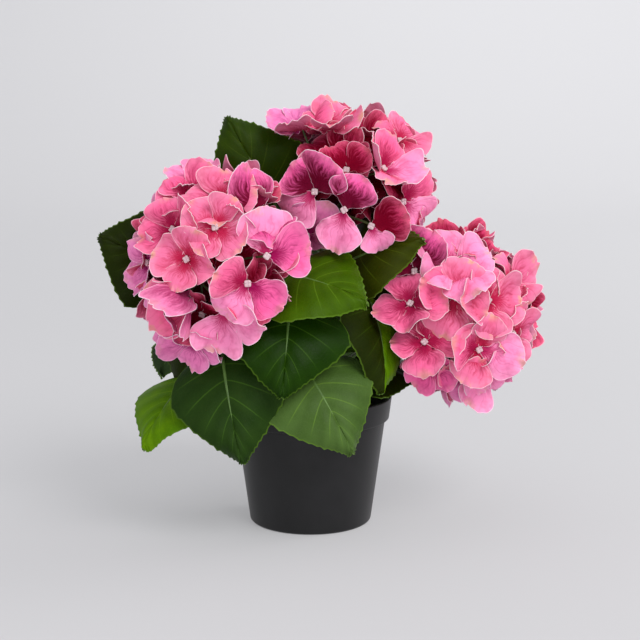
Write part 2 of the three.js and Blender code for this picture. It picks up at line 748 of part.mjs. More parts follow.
const turned = (profile, segments) => {
  const points = profile.map(([r, z]) => new THREE.Vector2(r, z));
  return new THREE.LatheGeometry(points, segments).rotateX(Math.PI / 2);
};

const BAND_FOOT = POT.height - POT.bandHeight;

// The outer wall's radius under the rim, at a height.
const bodyRadius = (z) => THREE.MathUtils.lerp(POT.baseRadius, POT.bodyRadius, z / BAND_FOOT);

function potGeometry() {
  const { height, rimRadius, bandRadius, edgeRound, edgeBreak, wall } = POT;
  const profile = [
    [0, 0],
    [bodyRadius(0) - edgeRound, 0],
    [bodyRadius(0) - edgeRound * 0.3, edgeRound * 0.3],
    [bodyRadius(edgeRound), edgeRound],
    [bodyRadius(BAND_FOOT), BAND_FOOT],
    [bandRadius - edgeBreak, BAND_FOOT + 0.3],
    [bandRadius, BAND_FOOT + 0.3 + edgeBreak],
    [rimRadius, height - edgeBreak],
    [rimRadius - edgeBreak, height],
    [rimRadius - wall, height],
    [bandRadius - wall, BAND_FOOT + wall],
    [bodyRadius(BAND_FOOT) - wall, BAND_FOOT + wall - 0.6],
    [bodyRadius(wall) - wall, wall],
    [0, wall],
  ];
  return turned(profile, POT.segments);
}

// The ballast fills the pot's body and the lower part of its rim, just clear of the walls.
function fillGeometry() {
  const inset = POT.wall + GAP;
  const radius = POT.bandRadius - inset;
  const profile = [
    [0, inset],
    [bodyRadius(inset) - inset, inset],
    [bodyRadius(BAND_FOOT) - inset, BAND_FOOT + POT.wall - 0.6],
    [radius - 0.4, BAND_FOOT + inset],
    [radius, FILL_TOP - 1.2],
    [radius - 3, FILL_TOP],
    [0, FILL_TOP],
  ];
  return turned(profile, POT.segments);
}

function stemGeometry() {
  const foot = FILL_TOP + GAP;
  const profile = [
    [0, foot],
    [STEM.footRadius, foot],
    [STEM.footRadius, foot + 1],
    [STEM.radius, foot + STEM.flareHeight],
    [STEM.tipRadius, FORK],
    [0, FORK],
  ];
  return turned(profile, STEM.sides);
}

// ---- Assembly ------------------------------------------------------------------------------------

const plant = new THREE.Group();

function add(name, geometry, colour, roughness) {
  const material = new THREE.MeshStandardMaterial({ color: colour, roughness, metalness: 0 });
  const mesh = new THREE.Mesh(geometry, material);
  mesh.name = name;
  plant.add(mesh);
}

add("pot", potGeometry(), COLOURS.pot, 0.5);
add("fill", fillGeometry(), COLOURS.fill, 0.95);
add("main_stem", stemGeometry(), COLOURS.stem, 0.6);
Object.entries(BOUGHS).forEach(([name, curve]) => {
  add(name, limbGeometry(curve, BOUGH), COLOURS.stem, 0.6);
});
Object.entries(SPRAYS).forEach(([name, spray]) => {
  add(`leaves_${name}`, sprayGeometry(spray), COLOURS.leaf, 0.45);
});
Object.entries(HEADS).forEach(([name, head]) => {
  add(`blossom_${name}`, headGeometry(head, BOUGHS[`bough_${name}`]), COLOURS.petal, 0.8);
});

export default plant;
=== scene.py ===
# An artificial hydrangea in its pot: petals, beads, pedicels, leaves, petioles, boughs, ballast and pot,
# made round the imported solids. The plan of the plant is in millimetres; METRES turns it into metres.
import math

import bpy
import numpy as np
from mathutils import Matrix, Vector


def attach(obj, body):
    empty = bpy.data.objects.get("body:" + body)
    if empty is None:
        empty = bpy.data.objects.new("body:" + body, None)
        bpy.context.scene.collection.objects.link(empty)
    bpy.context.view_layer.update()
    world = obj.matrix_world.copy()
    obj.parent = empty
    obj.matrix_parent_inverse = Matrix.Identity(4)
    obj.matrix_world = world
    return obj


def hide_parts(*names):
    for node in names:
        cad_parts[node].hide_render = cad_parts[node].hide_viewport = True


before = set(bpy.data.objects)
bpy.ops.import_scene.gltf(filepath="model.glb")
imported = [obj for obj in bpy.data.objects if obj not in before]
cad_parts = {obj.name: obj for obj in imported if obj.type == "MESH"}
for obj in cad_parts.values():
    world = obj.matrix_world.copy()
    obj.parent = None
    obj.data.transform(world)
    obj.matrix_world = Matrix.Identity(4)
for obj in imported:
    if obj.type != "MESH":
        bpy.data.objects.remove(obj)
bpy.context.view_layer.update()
bpy.context.scene.view_settings.view_transform = "Standard"

METRES = 0.001
UP = np.array([0.0, 0.0, 1.0])
GOLDEN_ANGLE = math.pi * (3 - math.sqrt(5))

# ---- The plant's plan ------------------------------------------------------------------------------

GAP = 0.3  # between two solids

POT = {
    "height": 95.0,
    "rim_radius": 60.5,
    "band_radius": 58.4,
    "band_height": 17.0,
    "band_step": 0.3,
    "body_radius": 55.6,
    "base_radius": 45.0,
    "edge_round": 2.4,
    "edge_break": 0.9,
    "wall": 2.0,
}
FILL_TOP = 83.0
BAND_FOOT = POT["height"] - POT["band_height"]

STEM = {"foot_radius": 10.0, "radius": 8.6, "tip_radius": 8.2, "flare": 6.0, "height": 32.0}
FORK = FILL_TOP + GAP + STEM["height"]
BOUGH = {"foot_radius": 3.5, "tip_radius": 2.6, "offset": 4.6, "rise": 0.38, "bend": 0.34, "end": 0.5}
FOOT_ANGLES = {"left": 215, "top": 95, "right": 335}

# How many petals stand round a hub.
PETALS = 4


def floret_plan(place, depth, faces, turn, size, cups, *tints):
    """A front floret: its place on the head and how far out it stands there, the way it faces, its turn,
    its petals' size, how far each is cupped, and one tint for all or each its own. A petal whose cup is
    None is left out."""
    return {"place": place, "depth": depth, "faces": faces, "turn": turn, "size": size, "cups": cups,
            "tints": tints * (PETALS // len(tints))}


# A head's centre, the way its pole points, how far its petals reach across and along the pole, and its
# front florets. A way or a place is in degrees round from the front, towards +X, and up.
HEADS = {
    "left": {
        "centre": (-65, -54, 204),
        "pole": (-50, 15),
        "across": 75,
        "along": 54,
        "seed": 3,
        "front": (
            floret_plan((3, 29), 1.06, (-12, 20), 150, 26, (0.2, 0.3, 0.2, 0.3), "salmon"),
            floret_plan((-20, 7), 1.02, (-24, 8), 168, 26, (0.25, 0.7, 0.6, 0.5), "salmon"),
            floret_plan((36, 8), 0.98, (12, 8), 94, 34, (0.2, None, None, 0.3),
                        "pink", "pink", "pink", "fuchsia"),
            floret_plan((22, -7), 1.05, (0, -4), 236, 31, (0.22, 0.22, None, 1.0),
                        "pink", "fuchsia", "rose", "rose"),
            floret_plan((-47, 32), 0.96, (-36, 18), 200, 29, (0.3, 0.3, 0.5, 0.6), "rose"),
            floret_plan((10, -30), 0.93, (-10, -26), 250, 33, (0.3, 0.5, None, None), "pink"),
            floret_plan((-22, -20), 0.96, (-58, -34), 215, 29, (1.0, 0.9, 1.0, 0.9),
                        "rose", "magenta", "magenta", "rose"),
            floret_plan((-51, -40), 0.94, (-58, -20), 30, 28, (0.7, 0.4, 0.3, 0.6), "mauve"),
            floret_plan((-80, -2), 0.96, (-66, 4), 45, 27, (0.4, 0.5, 0.4, 0.5), "mauve"),
            floret_plan((11, 57), 0.88, (-8, 44), 100, 29, (0.4, 0.4, 0.5, 0.5), "salmon"),
            floret_plan((42, 38), 0.9, (18, 44), 100, 31, (0.7, 0.6, 0.4, None), "magenta"),
            floret_plan((-64, 66), 0.9, (-28, 46), 60, 26, (0.5, 0.6, 0.5, 0.4), "rose"),
            floret_plan((-125, 70), 0.96, (-14, 58), 90, 25, (0.4, 0.4, 0.4, 0.4), "pink"),
            floret_plan((-32, -62), 0.98, (-20, -44), 250, 27, (0.3, 0.4, 0.4, 0.4), "mauve"),
        ),
    },
    "top": {
        "centre": (29, 5, 249),
        "pole": (12, 42),
        "across": 66,
        "along": 62,
        "seed": 11,
        "front": (
            floret_plan((-26, 1), 1.06, (-14, 8), 228, 32, (0.2, None, 0.8, 0.35),
                        "pink", "magenta", "magenta", "magenta"),
            floret_plan((-5, -11), 1.06, (-8, 2), 250, 29, (0.22, None, 0.5, None),
                        "pink", "pink", "magenta", "pink"),
            floret_plan((-4, 17), 0.98, (-2, 36), 124, 25, (0.7, None, None, 0.7),
                        "crimson", "rose", "rose", "crimson"),
            floret_plan((15, -23), 1.06, (4, -4), 292, 34, (0.25, 0.6, None, None),
                        "pink", "crimson", "pink", "pink"),
            floret_plan((44, -8), 0.96, (40, 0), 318, 33, (0.2, 0.25, None, None),
                        "pink", "rose", "pink", "pink"),
            floret_plan((-34, 60), 0.92, (4, 60), 82, 27, (0.5, 0.5, 1.1, 0.6),
                        "salmon", "rose", "rose", "salmon"),
            floret_plan((27, 18), 0.96, (44, 40), 150, 29, (0.9, 0.8, 0.8, 0.9),
                        "rose", "salmon", "pink", "rose"),
            floret_plan((70, 42), 0.92, (42, 38), 50, 25, (0.5, 0.5, 0.4, 0.5), "salmon"),
            floret_plan((-40, -33), 1.04, (-20, -14), 240, 31, (0.2, 0.3, 0.4, 0.4), "mauve"),
            floret_plan((-64, 48), 1.05, (-30, 58), 200, 27, (0.5, 1.0, 0.6, 0.4),
                        "mauve", "rose", "rose", "mauve"),
            floret_plan((-100, 34), 1.1, (-60, 60), 40, 24, (0.4, 0.4, 0.4, 0.4), "mauve"),
        ),
    },
    "right": {
        "centre": (109, 10, 156),
        "pole": (42, 15),
        "across": 72,
        "along": 56,
        "seed": 23,
        "front": (
            floret_plan((-37, 12), 1.06, (-20, 38), 200, 30, (0.2, 0.25, 0.2, 0.4), "rose"),
            floret_plan((-27, -13), 1.04, (-14, 36), 190, 30, (0.2, 0.3, 0.2, 0.5), "rose"),
            floret_plan((-43, 35), 1.0, (-28, 26), 60, 32, (0.4, 0.6, None, None), "magenta"),
            floret_plan((-8, 44), 1.0, (2, 38), 112, 33, (0.22, 0.5, 0.4, 0.3), "pink"),
            floret_plan((13, -21), 1.02, (14, -4), 340, 32, (0.2, 0.5, 0.8, 0.3),
                        "pink", "salmon", "rose", "salmon"),
            floret_plan((23, 18), 1.0, (24, 14), 0, 31, (0.25, 0.3, 0.5, 0.4), "salmon"),
            floret_plan((27, -46), 0.98, (20, -30), 250, 26, (0.3, 0.4, 0.6, 0.5), "pink"),
            floret_plan((-6, 20), 0.98, (-2, 14), 60, 31, (0.4, 0.4, 0.3, 0.5),
                        "salmon", "rose", "salmon", "salmon"),
            floret_plan((-25, -34), 0.96, (-14, -26), 215, 23, (0.4, 0.5, 0.4, 0.4), "fuchsia"),
            floret_plan((71, 30), 0.9, (56, 24), 20, 28, (0.4, 0.5, 0.4, 0.5), "salmon"),
            floret_plan((56, -15), 0.93, (44, -8), 100, 29, (0.3, 0.4, 0.3, 0.4), "salmon"),
            floret_plan((4, -46), 0.94, (2, -34), 235, 23, (0.4, 0.4, 0.4, 0.4),
                        "mauve", "pink", "rose", "rose"),
        ),
    },
}
FLORETS = {"left": 46, "top": 44, "right": 46}  # in each head's spiral
INNER_FLORETS = 12  # and half open deeper in each head
FLORET = {
    "inset_across": 11,  # how far the hubs stand inside the petals' reach
    "inset_along": 9,
    "reach": math.radians(128),  # from a head's pole to its last florets
    "dome": 0.94,  # how far out the spiral's florets stand, as a share of the front ones' dome
    "layer": 0.16,  # how much deeper every second one stands
    "inner_layer": 0.34,  # and the inner ones
    "ruffle": 0.03,
    "lean": 0.3,
    "size": 28,
    "size_spread": 4,
    "inner_shrink": 4,
    "turn_spread": 0.8,
    "petal_turn_spread": 0.12,
    "apart": 20,  # a floret of the spiral nearer than this to a front one is left out
    "aside": 38,  # and one nearer than this stands back by this share of the dome
    "yield": 0.12,
    "overreach": 0.97,  # how far out the spiral's petals may go, against the head's reach
    "front_freedom": 0.6,  # how far a front floret's petals may go into another head's space
}
DRAWS = 60  # repeatable values that a floret's folds and turns are drawn from
PETAL_SHAPES = ({"length": 1.04, "width": 1.2}, {"length": 0.94, "width": 1.05})
# A petal that has no room is tried again at the next of these sizes.
PETAL_SIZES = (1, 0.88, 0.76, 0.62, 0.5)
PETAL_THICKNESS = 0.36
# A petal's margin: waves round it, how high they stand and how far they stray, as shares of its length.
RUFFLES = ((5, 0.03, 0.018), (8, 0.028, 0.016), (13, 0.016, 0.014), (21, 0.008, 0.012))

LEAF = {"widest": 0.4, "stub": 0.1, "arch": 0.34, "fold": 0.07, "droop": 0.15}
LEAF_THICKNESS = 0.6
VEINS = 7.0  # side veins on each half of a leaf
PETIOLE = {"foot_radius": 1.5, "tip_radius": 1.2, "sunk": 0.14}
SHOOT = {"foot_radius": 2.1, "tip_radius": 1.7}
BEAD = {"width": 4.8, "height": 2.3, "rise": 1.1}
PEDICEL_RADII = (1.0, 0.75)
RAY_RADII = (2.4, 1.2)
RAYS = {"count": 9, "drop": 1.5, "reach": 0.42, "rise": 0.3}

PETAL_CLEARANCE = 2.2
LIMB_CLEARANCE = 1.2
POT_CLEARANCE = 2.0
SPACE_CLEARANCE = -0.04  # between two heads, as a share of their reach: they may mingle a little


def leaf_plan(base, tip, faces, width, tint, shade=None):
    """A leaf: its base and tip, the way it faces, its width and tint, and the tint of its shaded half
    where that is another."""
    return {"base": base, "tip": tip, "faces": faces, "width": width, "tint": tint,
            "shade": shade or tint}


# A spray's limb, how far along it its shoot leaves, the knot that its leaves grow from, and its leaves.
SPRAYS = {
    "front": {
        "limb": "top",
        "share": 0.22,
        "knot": (-6, -32, 160),
        "leaves": (
            leaf_plan((-14, -58, 176), (-19, -96, 114), (6, 22), 88, "deep"),
            leaf_plan((-22, -50, 192), (39, -90, 179), (8, 48), 82, "mid"),
            leaf_plan((-7, -54, 131), (30, -86, 72), (15, 15), 82, "sage"),
        ),
    },
    "left": {
        "limb": "left",
        "share": 0.35,
        "knot": (-58, -38, 141),
        "leaves": (
            leaf_plan((-62, -58, 141), (-47, -88, 65), (-10, 14), 86, "slate"),
            leaf_plan((-84, -22, 114), (-119, -62, 70), (-42, 34), 74, "lime"),
            leaf_plan((-78, -18, 158), (-86, -28, 84), (-30, 4), 52, "dark"),
        ),
    },
    "upper_left": {
        "limb": "left",
        "share": 0.6,
        "knot": (-52, 8, 166),
        "leaves": (
            leaf_plan((-98, 6, 189), (-153, -10, 214), (-15, 14), 80, "dark"),
            leaf_plan((-78, 30, 150), (-118, 58, 98), (-125, 30), 80, "deep"),
        ),
    },
    "crown": {
        "limb": "top",
        "share": 0.72,
        "knot": (2, 2, 205),
        "leaves": (
            leaf_plan((-21, -2, 228), (-60, -6, 300), (-8, 26), 80, "high"),
            leaf_plan((22, -14, 193), (79, -46, 217), (-24, 34), 68, "olive"),
        ),
    },
    "right": {
        "limb": "right",
        "share": 0.25,
        "knot": (26, -16, 158),
        "leaves": (
            leaf_plan((42, -24, 172), (52, -56, 108), (50, 6), 73, "lime", "dark"),
            leaf_plan((34, -4, 170), (88, 22, 200), (10, 70), 60, "dark"),
        ),
    },
    "low_right": {
        "limb": "stem",
        "share": 0.45,
        "knot": (20, 6, 112),
        "leaves": (
            leaf_plan((28, 2, 112), (84, 4, 108), (0, 72), 72, "dark"),
            leaf_plan((36, 34, 120), (74, 82, 92), (140, 42), 82, "mid"),
        ),
    },
    "back": {
        "limb": "top",
        "share": 0.35,
        "knot": (2, 36, 168),
        "leaves": (
            leaf_plan((8, 58, 158), (0, 98, 88), (182, 22), 86, "deep"),
            leaf_plan((10, 54, 196), (-2, 104, 152), (176, 46), 80, "mid"),
            leaf_plan((34, 54, 172), (88, 92, 158), (150, 50), 78, "deep"),
        ),
    },
    "back_left": {
        "limb": "stem",
        "share": 0.7,
        "knot": (-20, 22, 128),
        "leaves": (
            leaf_plan((-38, 44, 142), (-66, 84, 84), (206, 20), 84, "mid"),
            leaf_plan((-46, 38, 184), (-96, 70, 188), (216, 50), 74, "deep"),
        ),
    },
}


# ---- Small helpers ---------------------------------------------------------------------------------


def unit(vector):
    return vector / np.linalg.norm(vector)


def direction(angles):
    """The direction that lies a number of degrees round from the front, towards +X, and up."""
    a, e = map(math.radians, angles)
    return np.array([math.sin(a) * math.cos(e), -math.cos(a) * math.cos(e), math.sin(e)])


def scatter(seed, index):
    """A repeatable value from -1 to 1 for each seed and index."""
    wave = math.sin(seed * 12.9898 + index * 78.233) * 43758.5453
    return 2 * (wave - math.floor(wave)) - 1


def bezier(points, shares):
    """Points along a Bezier curve of any degree."""
    rows = [np.repeat(np.asarray(p, float)[None], len(shares), 0) for p in points]
    t = np.asarray(shares, float)[:, None]
    while len(rows) > 1:
        rows = [a * (1 - t) + b * t for a, b in zip(rows, rows[1:])]
    return rows[0]


def evenly(path, count):
    """The path's points again, at even distances along it."""
    steps = np.linalg.norm(np.diff(path, axis=0), axis=1)
    length = np.concatenate([[0], np.cumsum(steps)])
    at = np.linspace(0, length[-1], count)
    return np.stack([np.interp(at, length, path[:, k]) for k in range(3)], 1)


# ---- Limbs and leaves, by the plan -----------------------------------------------------------------


def bough_tip(head):
    return np.array(head["centre"], float) - direction(head["pole"]) * head["along"] * BOUGH["end"]


def bough_path(name, count=61):
    head = HEADS[name]
    pole = direction(head["pole"])
    angle = math.radians(FOOT_ANGLES[name])
    offset = BOUGH["offset"]
    foot = np.array([math.cos(angle) * offset, math.sin(angle) * offset, FORK + GAP])
    tip = bough_tip(head)
    reach = np.linalg.norm(tip - foot)
    bends = (foot + UP * reach * BOUGH["rise"], tip - pole * reach * BOUGH["bend"])
    return evenly(bezier((foot, *bends, tip), np.linspace(0, 1, 201)), count)


STEM_PATH = np.array([[0, 0, FILL_TOP + GAP], [0, 0, FORK]])
BOUGH_PATHS = {name: bough_path(name) for name in HEADS}


def leaf_breadth(s):
    """A leaf's half width along its length, as a share of the greatest."""
    s = np.clip(s, 0, 1)
    widest, stub = LEAF["widest"], LEAF["stub"]
    foot = stub + (1 - stub) * np.sqrt(np.clip(1 - ((widest - s) / widest) ** 2, 0, 1))
    tip = np.maximum(0.015, 1 - np.clip((s - widest) / (1 - widest), 0, 1) ** 1.32)
    return np.where(s < widest, foot, tip)


def leaf_rise(s, v):
    """How far the blade stands off the flat, as a share of its length."""
    return LEAF["arch"] * s * (1 - s) + LEAF["fold"] * np.abs(v) - LEAF["droop"] * v * v


def leaf_frame(leaf):
    base, tip = np.array(leaf["base"], float), np.array(leaf["tip"], float)
    length = np.linalg.norm(tip - base)
    along = unit(tip - base)
    facing = direction(leaf["faces"])
    normal = unit(facing - along * facing.dot(along))
    across = np.cross(normal, along)
    return {"base": base, "along": along, "across": across, "normal": normal,
            "length": length, "half": leaf["width"] / 2}


def petiole_path(knot, leaf, count=25):
    blade = leaf_frame(leaf)
    base, sunk = blade["base"], PETIOLE["sunk"]
    reach = np.linalg.norm(base - knot)
    rise = leaf_rise(sunk, 0.0) * blade["length"]
    end = base + blade["along"] * sunk * blade["length"] + blade["normal"] * rise
    inward = unit(end - base)
    bend = knot + (base - knot) * 0.4 + UP * reach * 0.12
    return bezier((knot, bend, base - inward * reach * 0.3, end), np.linspace(0, 1, count))


def limb_at(spray):
    """The point where a spray's shoot leaves its limb, the limb's direction there and its radius."""
    if spray["limb"] == "stem":
        path, radius = STEM_PATH, STEM["radius"]
    else:
        path = BOUGH_PATHS[spray["limb"]]
        radius = BOUGH["foot_radius"] + (BOUGH["tip_radius"] - BOUGH["foot_radius"]) * spray["share"]
    place = spray["share"] * (len(path) - 1)
    low = min(int(place), len(path) - 2)
    on = path[low] + (path[low + 1] - path[low]) * (place - low)
    return on, unit(path[low + 1] - path[low]), radius


def shoot_path(spray, count=21):
    on, axis, radius = limb_at(spray)
    knot = np.array(spray["knot"], float)
    out = knot - on
    out = unit(out - axis * out.dot(axis))
    foot = on + out * (radius + GAP)
    bend = foot + out * np.linalg.norm(knot - foot) * 0.4
    return bezier((foot, bend, knot), np.linspace(0, 1, count))


# ---- What a petal keeps clear of -------------------------------------------------------------------

LEAF_FRAMES = [leaf_frame(leaf) for spray in SPRAYS.values() for leaf in spray["leaves"]]


def clear_of_leaves(points):
    clear = np.ones(len(points), bool)
    for blade in LEAF_FRAMES:
        from_base = points - blade["base"]
        s = from_base @ blade["along"] / blade["length"]
        breadth = leaf_breadth(s) * blade["half"]
        v = from_base @ blade["across"] / breadth
        lift = leaf_rise(s, np.clip(v, -1, 1)) * blade["length"]
        near = np.abs(from_base @ blade["normal"] - lift) <= PETAL_CLEARANCE
        beside = (s > -0.04) & (s < 1.04) & (np.abs(v) < 1 + PETAL_CLEARANCE / breadth)
        clear &= ~(near & beside)
    return clear


def limb_points():
    """Points along each bough, shoot and petiole, with the radius there."""
    limbs = [(path, BOUGH["foot_radius"]) for path in BOUGH_PATHS.values()]
    for spray in SPRAYS.values():
        limbs.append((shoot_path(spray), SHOOT["foot_radius"]))
        knot = np.array(spray["knot"], float)
        limbs += [(petiole_path(knot, leaf), PETIOLE["foot_radius"]) for leaf in spray["leaves"]]
    places = np.concatenate([path for path, _ in limbs])
    radii = np.concatenate([np.full(len(path), radius) for path, radius in limbs])
    return places, radii


LIMB_POINTS = limb_points()


def clear_of_limbs(points):
    places, radii = LIMB_POINTS
    apart = np.linalg.norm(points[:, None] - places[None], axis=2)
    return (apart > radii + LIMB_CLEARANCE).all(1)


def clear_of_pot(points):
    outside = np.hypot(points[:, 0], points[:, 1]) > POT["rim_radius"] + POT_CLEARANCE
    return outside | (points[:, 2] > POT["height"] + POT_CLEARANCE)


def depth_in(head, points):
    """The points' distance from a head's centre against the head's reach that way."""
    from_centre = points - np.array(head["centre"])
    up = from_centre @ direction(head["pole"])
    out = np.sqrt(np.clip((from_centre**2).sum(1) - up * up, 0, None))
    return np.hypot(out / head["across"], up / head["along"])


def has_room(head, points, front):
    """A petal keeps out of the pot, limbs and leaves, and out of the other heads' space, where a front
    floret has more freedom."""
    room = clear_of_pot(points) & clear_of_limbs(points) & clear_of_leaves(points)
    own = depth_in(head, points) - FLORET["front_freedom"] * front
    for other in HEADS.values():
        if other is not head:
            room &= depth_in(other, points) > own + SPACE_CLEARANCE
    return bool(room.all())


# ---- Florets, by the plan --------------------------------------------------------------------------


def inner_reach(head, way):
    """How far the hubs' flattened dome reaches from the head's centre along a direction."""
    up = way.dot(direction(head["pole"]))
    out = math.sqrt(max(0.0, 1 - up * up))
    return 1 / math.hypot(out / (head["across"] - FLORET["inset_across"]),
                          up / (head["along"] - FLORET["inset_along"]))


def petals_of(size, turn, cups, tints, toss, spread=1.0):
    """Four petals round a hub, two large and two smaller, each with its own folds."""
    petals = []
    for p in range(PETALS):
        if cups[p] is None:
            continue
        shape = PETAL_SHAPES[p % 2]
        petals.append({
            "kind": ("large", "small")[p % 2],
            "tint": tints[p],
            "angle": p * math.pi / 2 + turn + FLORET["petal_turn_spread"] * toss[6 + p],
            "length": size * shape["length"] * (1 + 0.07 * toss[38 + p]),
            "width": size * shape["width"] * (1 + 0.08 * toss[42 + p]),
            "cup": cups[p] + 0.2 * spread * toss[10 + p],
            "hollow": 0.14 + 0.14 * toss[14 + p],
            "curl": 0.22 + 0.3 * toss[18 + p],
            "twist": 0.16 + 0.1 * toss[22 + p],
            "fold": 0.09 + 0.05 * toss[26 + p],
            "folds": 5.5 + 2 * toss[46 + p],
            "phase": math.pi * toss[30 + p],
            "taper": 0.2 + 0.18 * toss[50 + p],
            "skew": 0.16 * toss[54 + p],
        })
    return petals


def front_florets(head):
    """The florets that a head turns to the front, each at its own place."""
    florets = []
    for k, plan in enumerate(head["front"]):
        toss = [scatter(head["seed"] + 61 + n, k) for n in range(DRAWS)]
        way = direction(plan["place"])
        hub = np.array(head["centre"]) + way * inner_reach(head, way) * plan["depth"]
        normal = direction(plan["faces"])
        east = unit(np.cross(UP, normal))
        turn = math.radians(plan["turn"])
        petals = petals_of(plan["size"], turn, plan["cups"], plan["tints"], toss, spread=0.3)
        florets.append({"hub": hub, "normal": normal, "east": east, "north": np.cross(normal, east),
                        "petals": petals, "front": True})
    return florets


def spiral_way(head, k, count, drop):
    """The k-th of some ways in a spiral from a head's pole: the direction round the pole, then the sine
    and cosine of the angle from it. The last cosine is lower than the pole's by about drop."""
    pole = direction(head["pole"])
    side = unit(np.cross(UP, pole))
    fore = np.cross(pole, side)
    cosine = 1 - (k + 0.5) / count * drop
    turn = k * GOLDEN_ANGLE + head["seed"]
    return side * math.cos(turn) + fore * math.sin(turn), math.sqrt(1 - cosine * cosine), cosine


def spiral_floret(head, k, count, inner, front_hubs):
    """The k-th floret of a head's spiral, on a flattened dome and tipped a little off it, or None where a
    front one stands too near. The inner ones stand deeper and are smaller and half open. Their tints are
    painted light and shade: lit or shaded by the way each faces the light, crimson as painted shade where
    one stands back beside a front floret, and deep, the darkest painted shade, for the inner ones."""
    toss = [scatter(head["seed"] + n + 7 * inner, k) for n in range(DRAWS)]
    pole = direction(head["pole"])
    around, sine, cosine = spiral_way(head, k, count, 1 - math.cos(FLORET["reach"]))
    across = head["across"] - FLORET["inset_across"]
    along = head["along"] - FLORET["inset_along"]
    depth = FLORET["dome"] - FLORET["layer"] * (k % 2) - FLORET["ruffle"] * (1 + toss[1])
    depth -= FLORET["inner_layer"] * inner
    hub = np.array(head["centre"]) + around * sine * across * depth + pole * cosine * along * depth
    near = min(np.linalg.norm(hub - other) for other in front_hubs)
    if not inner and near < FLORET["apart"]:
        return None
    if near < FLORET["aside"]:
        hub -= around * sine * across * FLORET["yield"]
        hub -= pole * cosine * along * FLORET["yield"]
    normal = unit(around * sine / across + pole * cosine / along)
    east = unit(np.cross(normal, around + pole * 0.3))
    normal = unit(normal + east * FLORET["lean"] * toss[2])
    north = unit(np.cross(normal, east))
    normal = unit(normal + north * FLORET["lean"] * toss[3])
    east = unit(np.cross(north, normal))
    north = np.cross(normal, east)
    size = FLORET["size"] + FLORET["size_spread"] * toss[4] - FLORET["inner_shrink"] * inner
    cup = 0.5 + 0.25 * toss[35] + 0.15 * inner
    cups = (cup, cup + 0.07) * (PETALS // 2)
    # painted shade: crimson where a floret stands back beside a front one, else lit or shaded by its
    # facing
    tint = "crimson" if near < FLORET["aside"] else tint_by_light(normal, toss[34])
    # painted shade: the inner florets take deep, the darkest tint
    tints = ("deep" if inner else tint,) * PETALS
    petals = petals_of(size, FLORET["turn_spread"] * toss[5], cups, tints, toss)
    return {"hub": hub, "normal": normal, "east": east, "north": north, "petals": petals, "front": False}


def florets_of(name):
    """A head's florets: the front ones, a spiral round them, and a few half open ones deeper in."""
    head = HEADS[name]
    florets = front_florets(head)
    front_hubs = [floret["hub"] for floret in florets]
    for inner, count in ((False, FLORETS[name]), (True, INNER_FLORETS)):
        spiral = [spiral_floret(head, k, count, inner, front_hubs) for k in range(count)]
        florets += [floret for floret in spiral if floret]
    return florets


def tint_by_light(normal, chance):
    """Painted light and shade: florets that face up and to the right, towards the light, are the lit
    salmon, and those that face down and left are the shaded mauve.
    """
    towards_light = normal.dot(unit(np.array([0.6, -0.2, 0.75]))) + 0.55 * chance
    for limit, tint in ((0.75, "salmon"), (0.3, "pink"), (-0.05, "rose"), (-0.5, "magenta")):
        if towards_light > limit:
            return tint
    return "mauve"


def petal_points(floret, petal, s, x, disc=None):
    """Points of a petal at shares of its length and of its half width."""
    reach = np.clip(s, 0, None)
    narrow = 1 - petal["taper"] * np.clip((s - 0.5) / 0.5, 0, 1) ** 1.4
    rise = petal["cup"] * reach**1.5 + petal["hollow"] * x * x * reach - petal["curl"] * reach**4
    edge = np.zeros(len(s))
    if disc is not None:
        radius = np.hypot(disc[:, 0], disc[:, 1])
        around = np.arctan2(disc[:, 1], disc[:, 0])
        fan = np.arctan2(x * petal["width"] / 2, (s + 0.1) * petal["length"])
        rise = rise + petal["fold"] * reach**1.6 * np.sin(petal["folds"] * fan + petal["phase"])
        rise = rise + petal["twist"] * x * reach
        for waves, lift, stray in RUFFLES:
            wave = np.sin(waves * around + petal["phase"] * waves)
            rise = rise + lift * radius**6 * wave
            edge = edge + stray * radius**8 * np.cos(waves * around + petal["phase"] * (waves + 1))
    drawn = 1 - 0.2 * petal["cup"]
    along = (s + (s - 0.5) * edge) * petal["length"] * drawn
    across = (x * narrow * (1 + edge) + petal["skew"] * s * s) * petal["width"] / 2
    cos, sin = math.cos(petal["angle"]), math.sin(petal["angle"])
    return (
        floret["hub"]
        + np.outer(along * cos - across * sin, floret["east"])
        + np.outer(along * sin + across * cos, floret["north"])
        + np.outer(petal["length"] * rise, floret["normal"])
    )


def petal_breadth(s):
    """A petal's half width along its length, as a share of the greatest."""
    widest = 0.62
    if s < widest:
        return math.sin(math.pi / 2 * max(0, s) / widest) ** 1.15
    return (1 - min(1, (s - widest) / (1 - widest)) ** 2.3) ** 0.62


TEST_S, TEST_X = (grid.ravel() for grid in np.meshgrid(np.linspace(0.2, 1, 6), np.linspace(-1, 1, 5)))
TEST_X = TEST_X * np.array([petal_breadth(s) for s in TEST_S])


def fitted_petal(head, floret, petal):
    """The petal at the largest of the sizes that has room, or None."""
    limit = math.inf if floret["front"] else FLORET["overreach"]
    for size in PETAL_SIZES:
        sized = {**petal, "length": petal["length"] * size, "width": petal["width"] * size}
        points = petal_points(floret, sized, TEST_S, TEST_X)
        if depth_in(head, points).max() < limit and has_room(head, points, floret["front"]):
            return sized
    return None


# ---- Modelling helpers -----------------------------------------------------------------------------


def deselect():
    if bpy.context.object and bpy.context.object.mode != "OBJECT":
        bpy.ops.object.mode_set(mode="OBJECT")
    bpy.ops.object.select_all(action="DESELECT")


def added(name, primitive, **options):
    """A new primitive with a plain name, alone selected, its place in its mesh."""
    deselect()
    primitive(**options)
    piece = bpy.context.object
    piece.name = name
    piece.data.name = name
    bpy.ops.object.transform_apply(location=True, rotation=True, scale=True)
    return piece


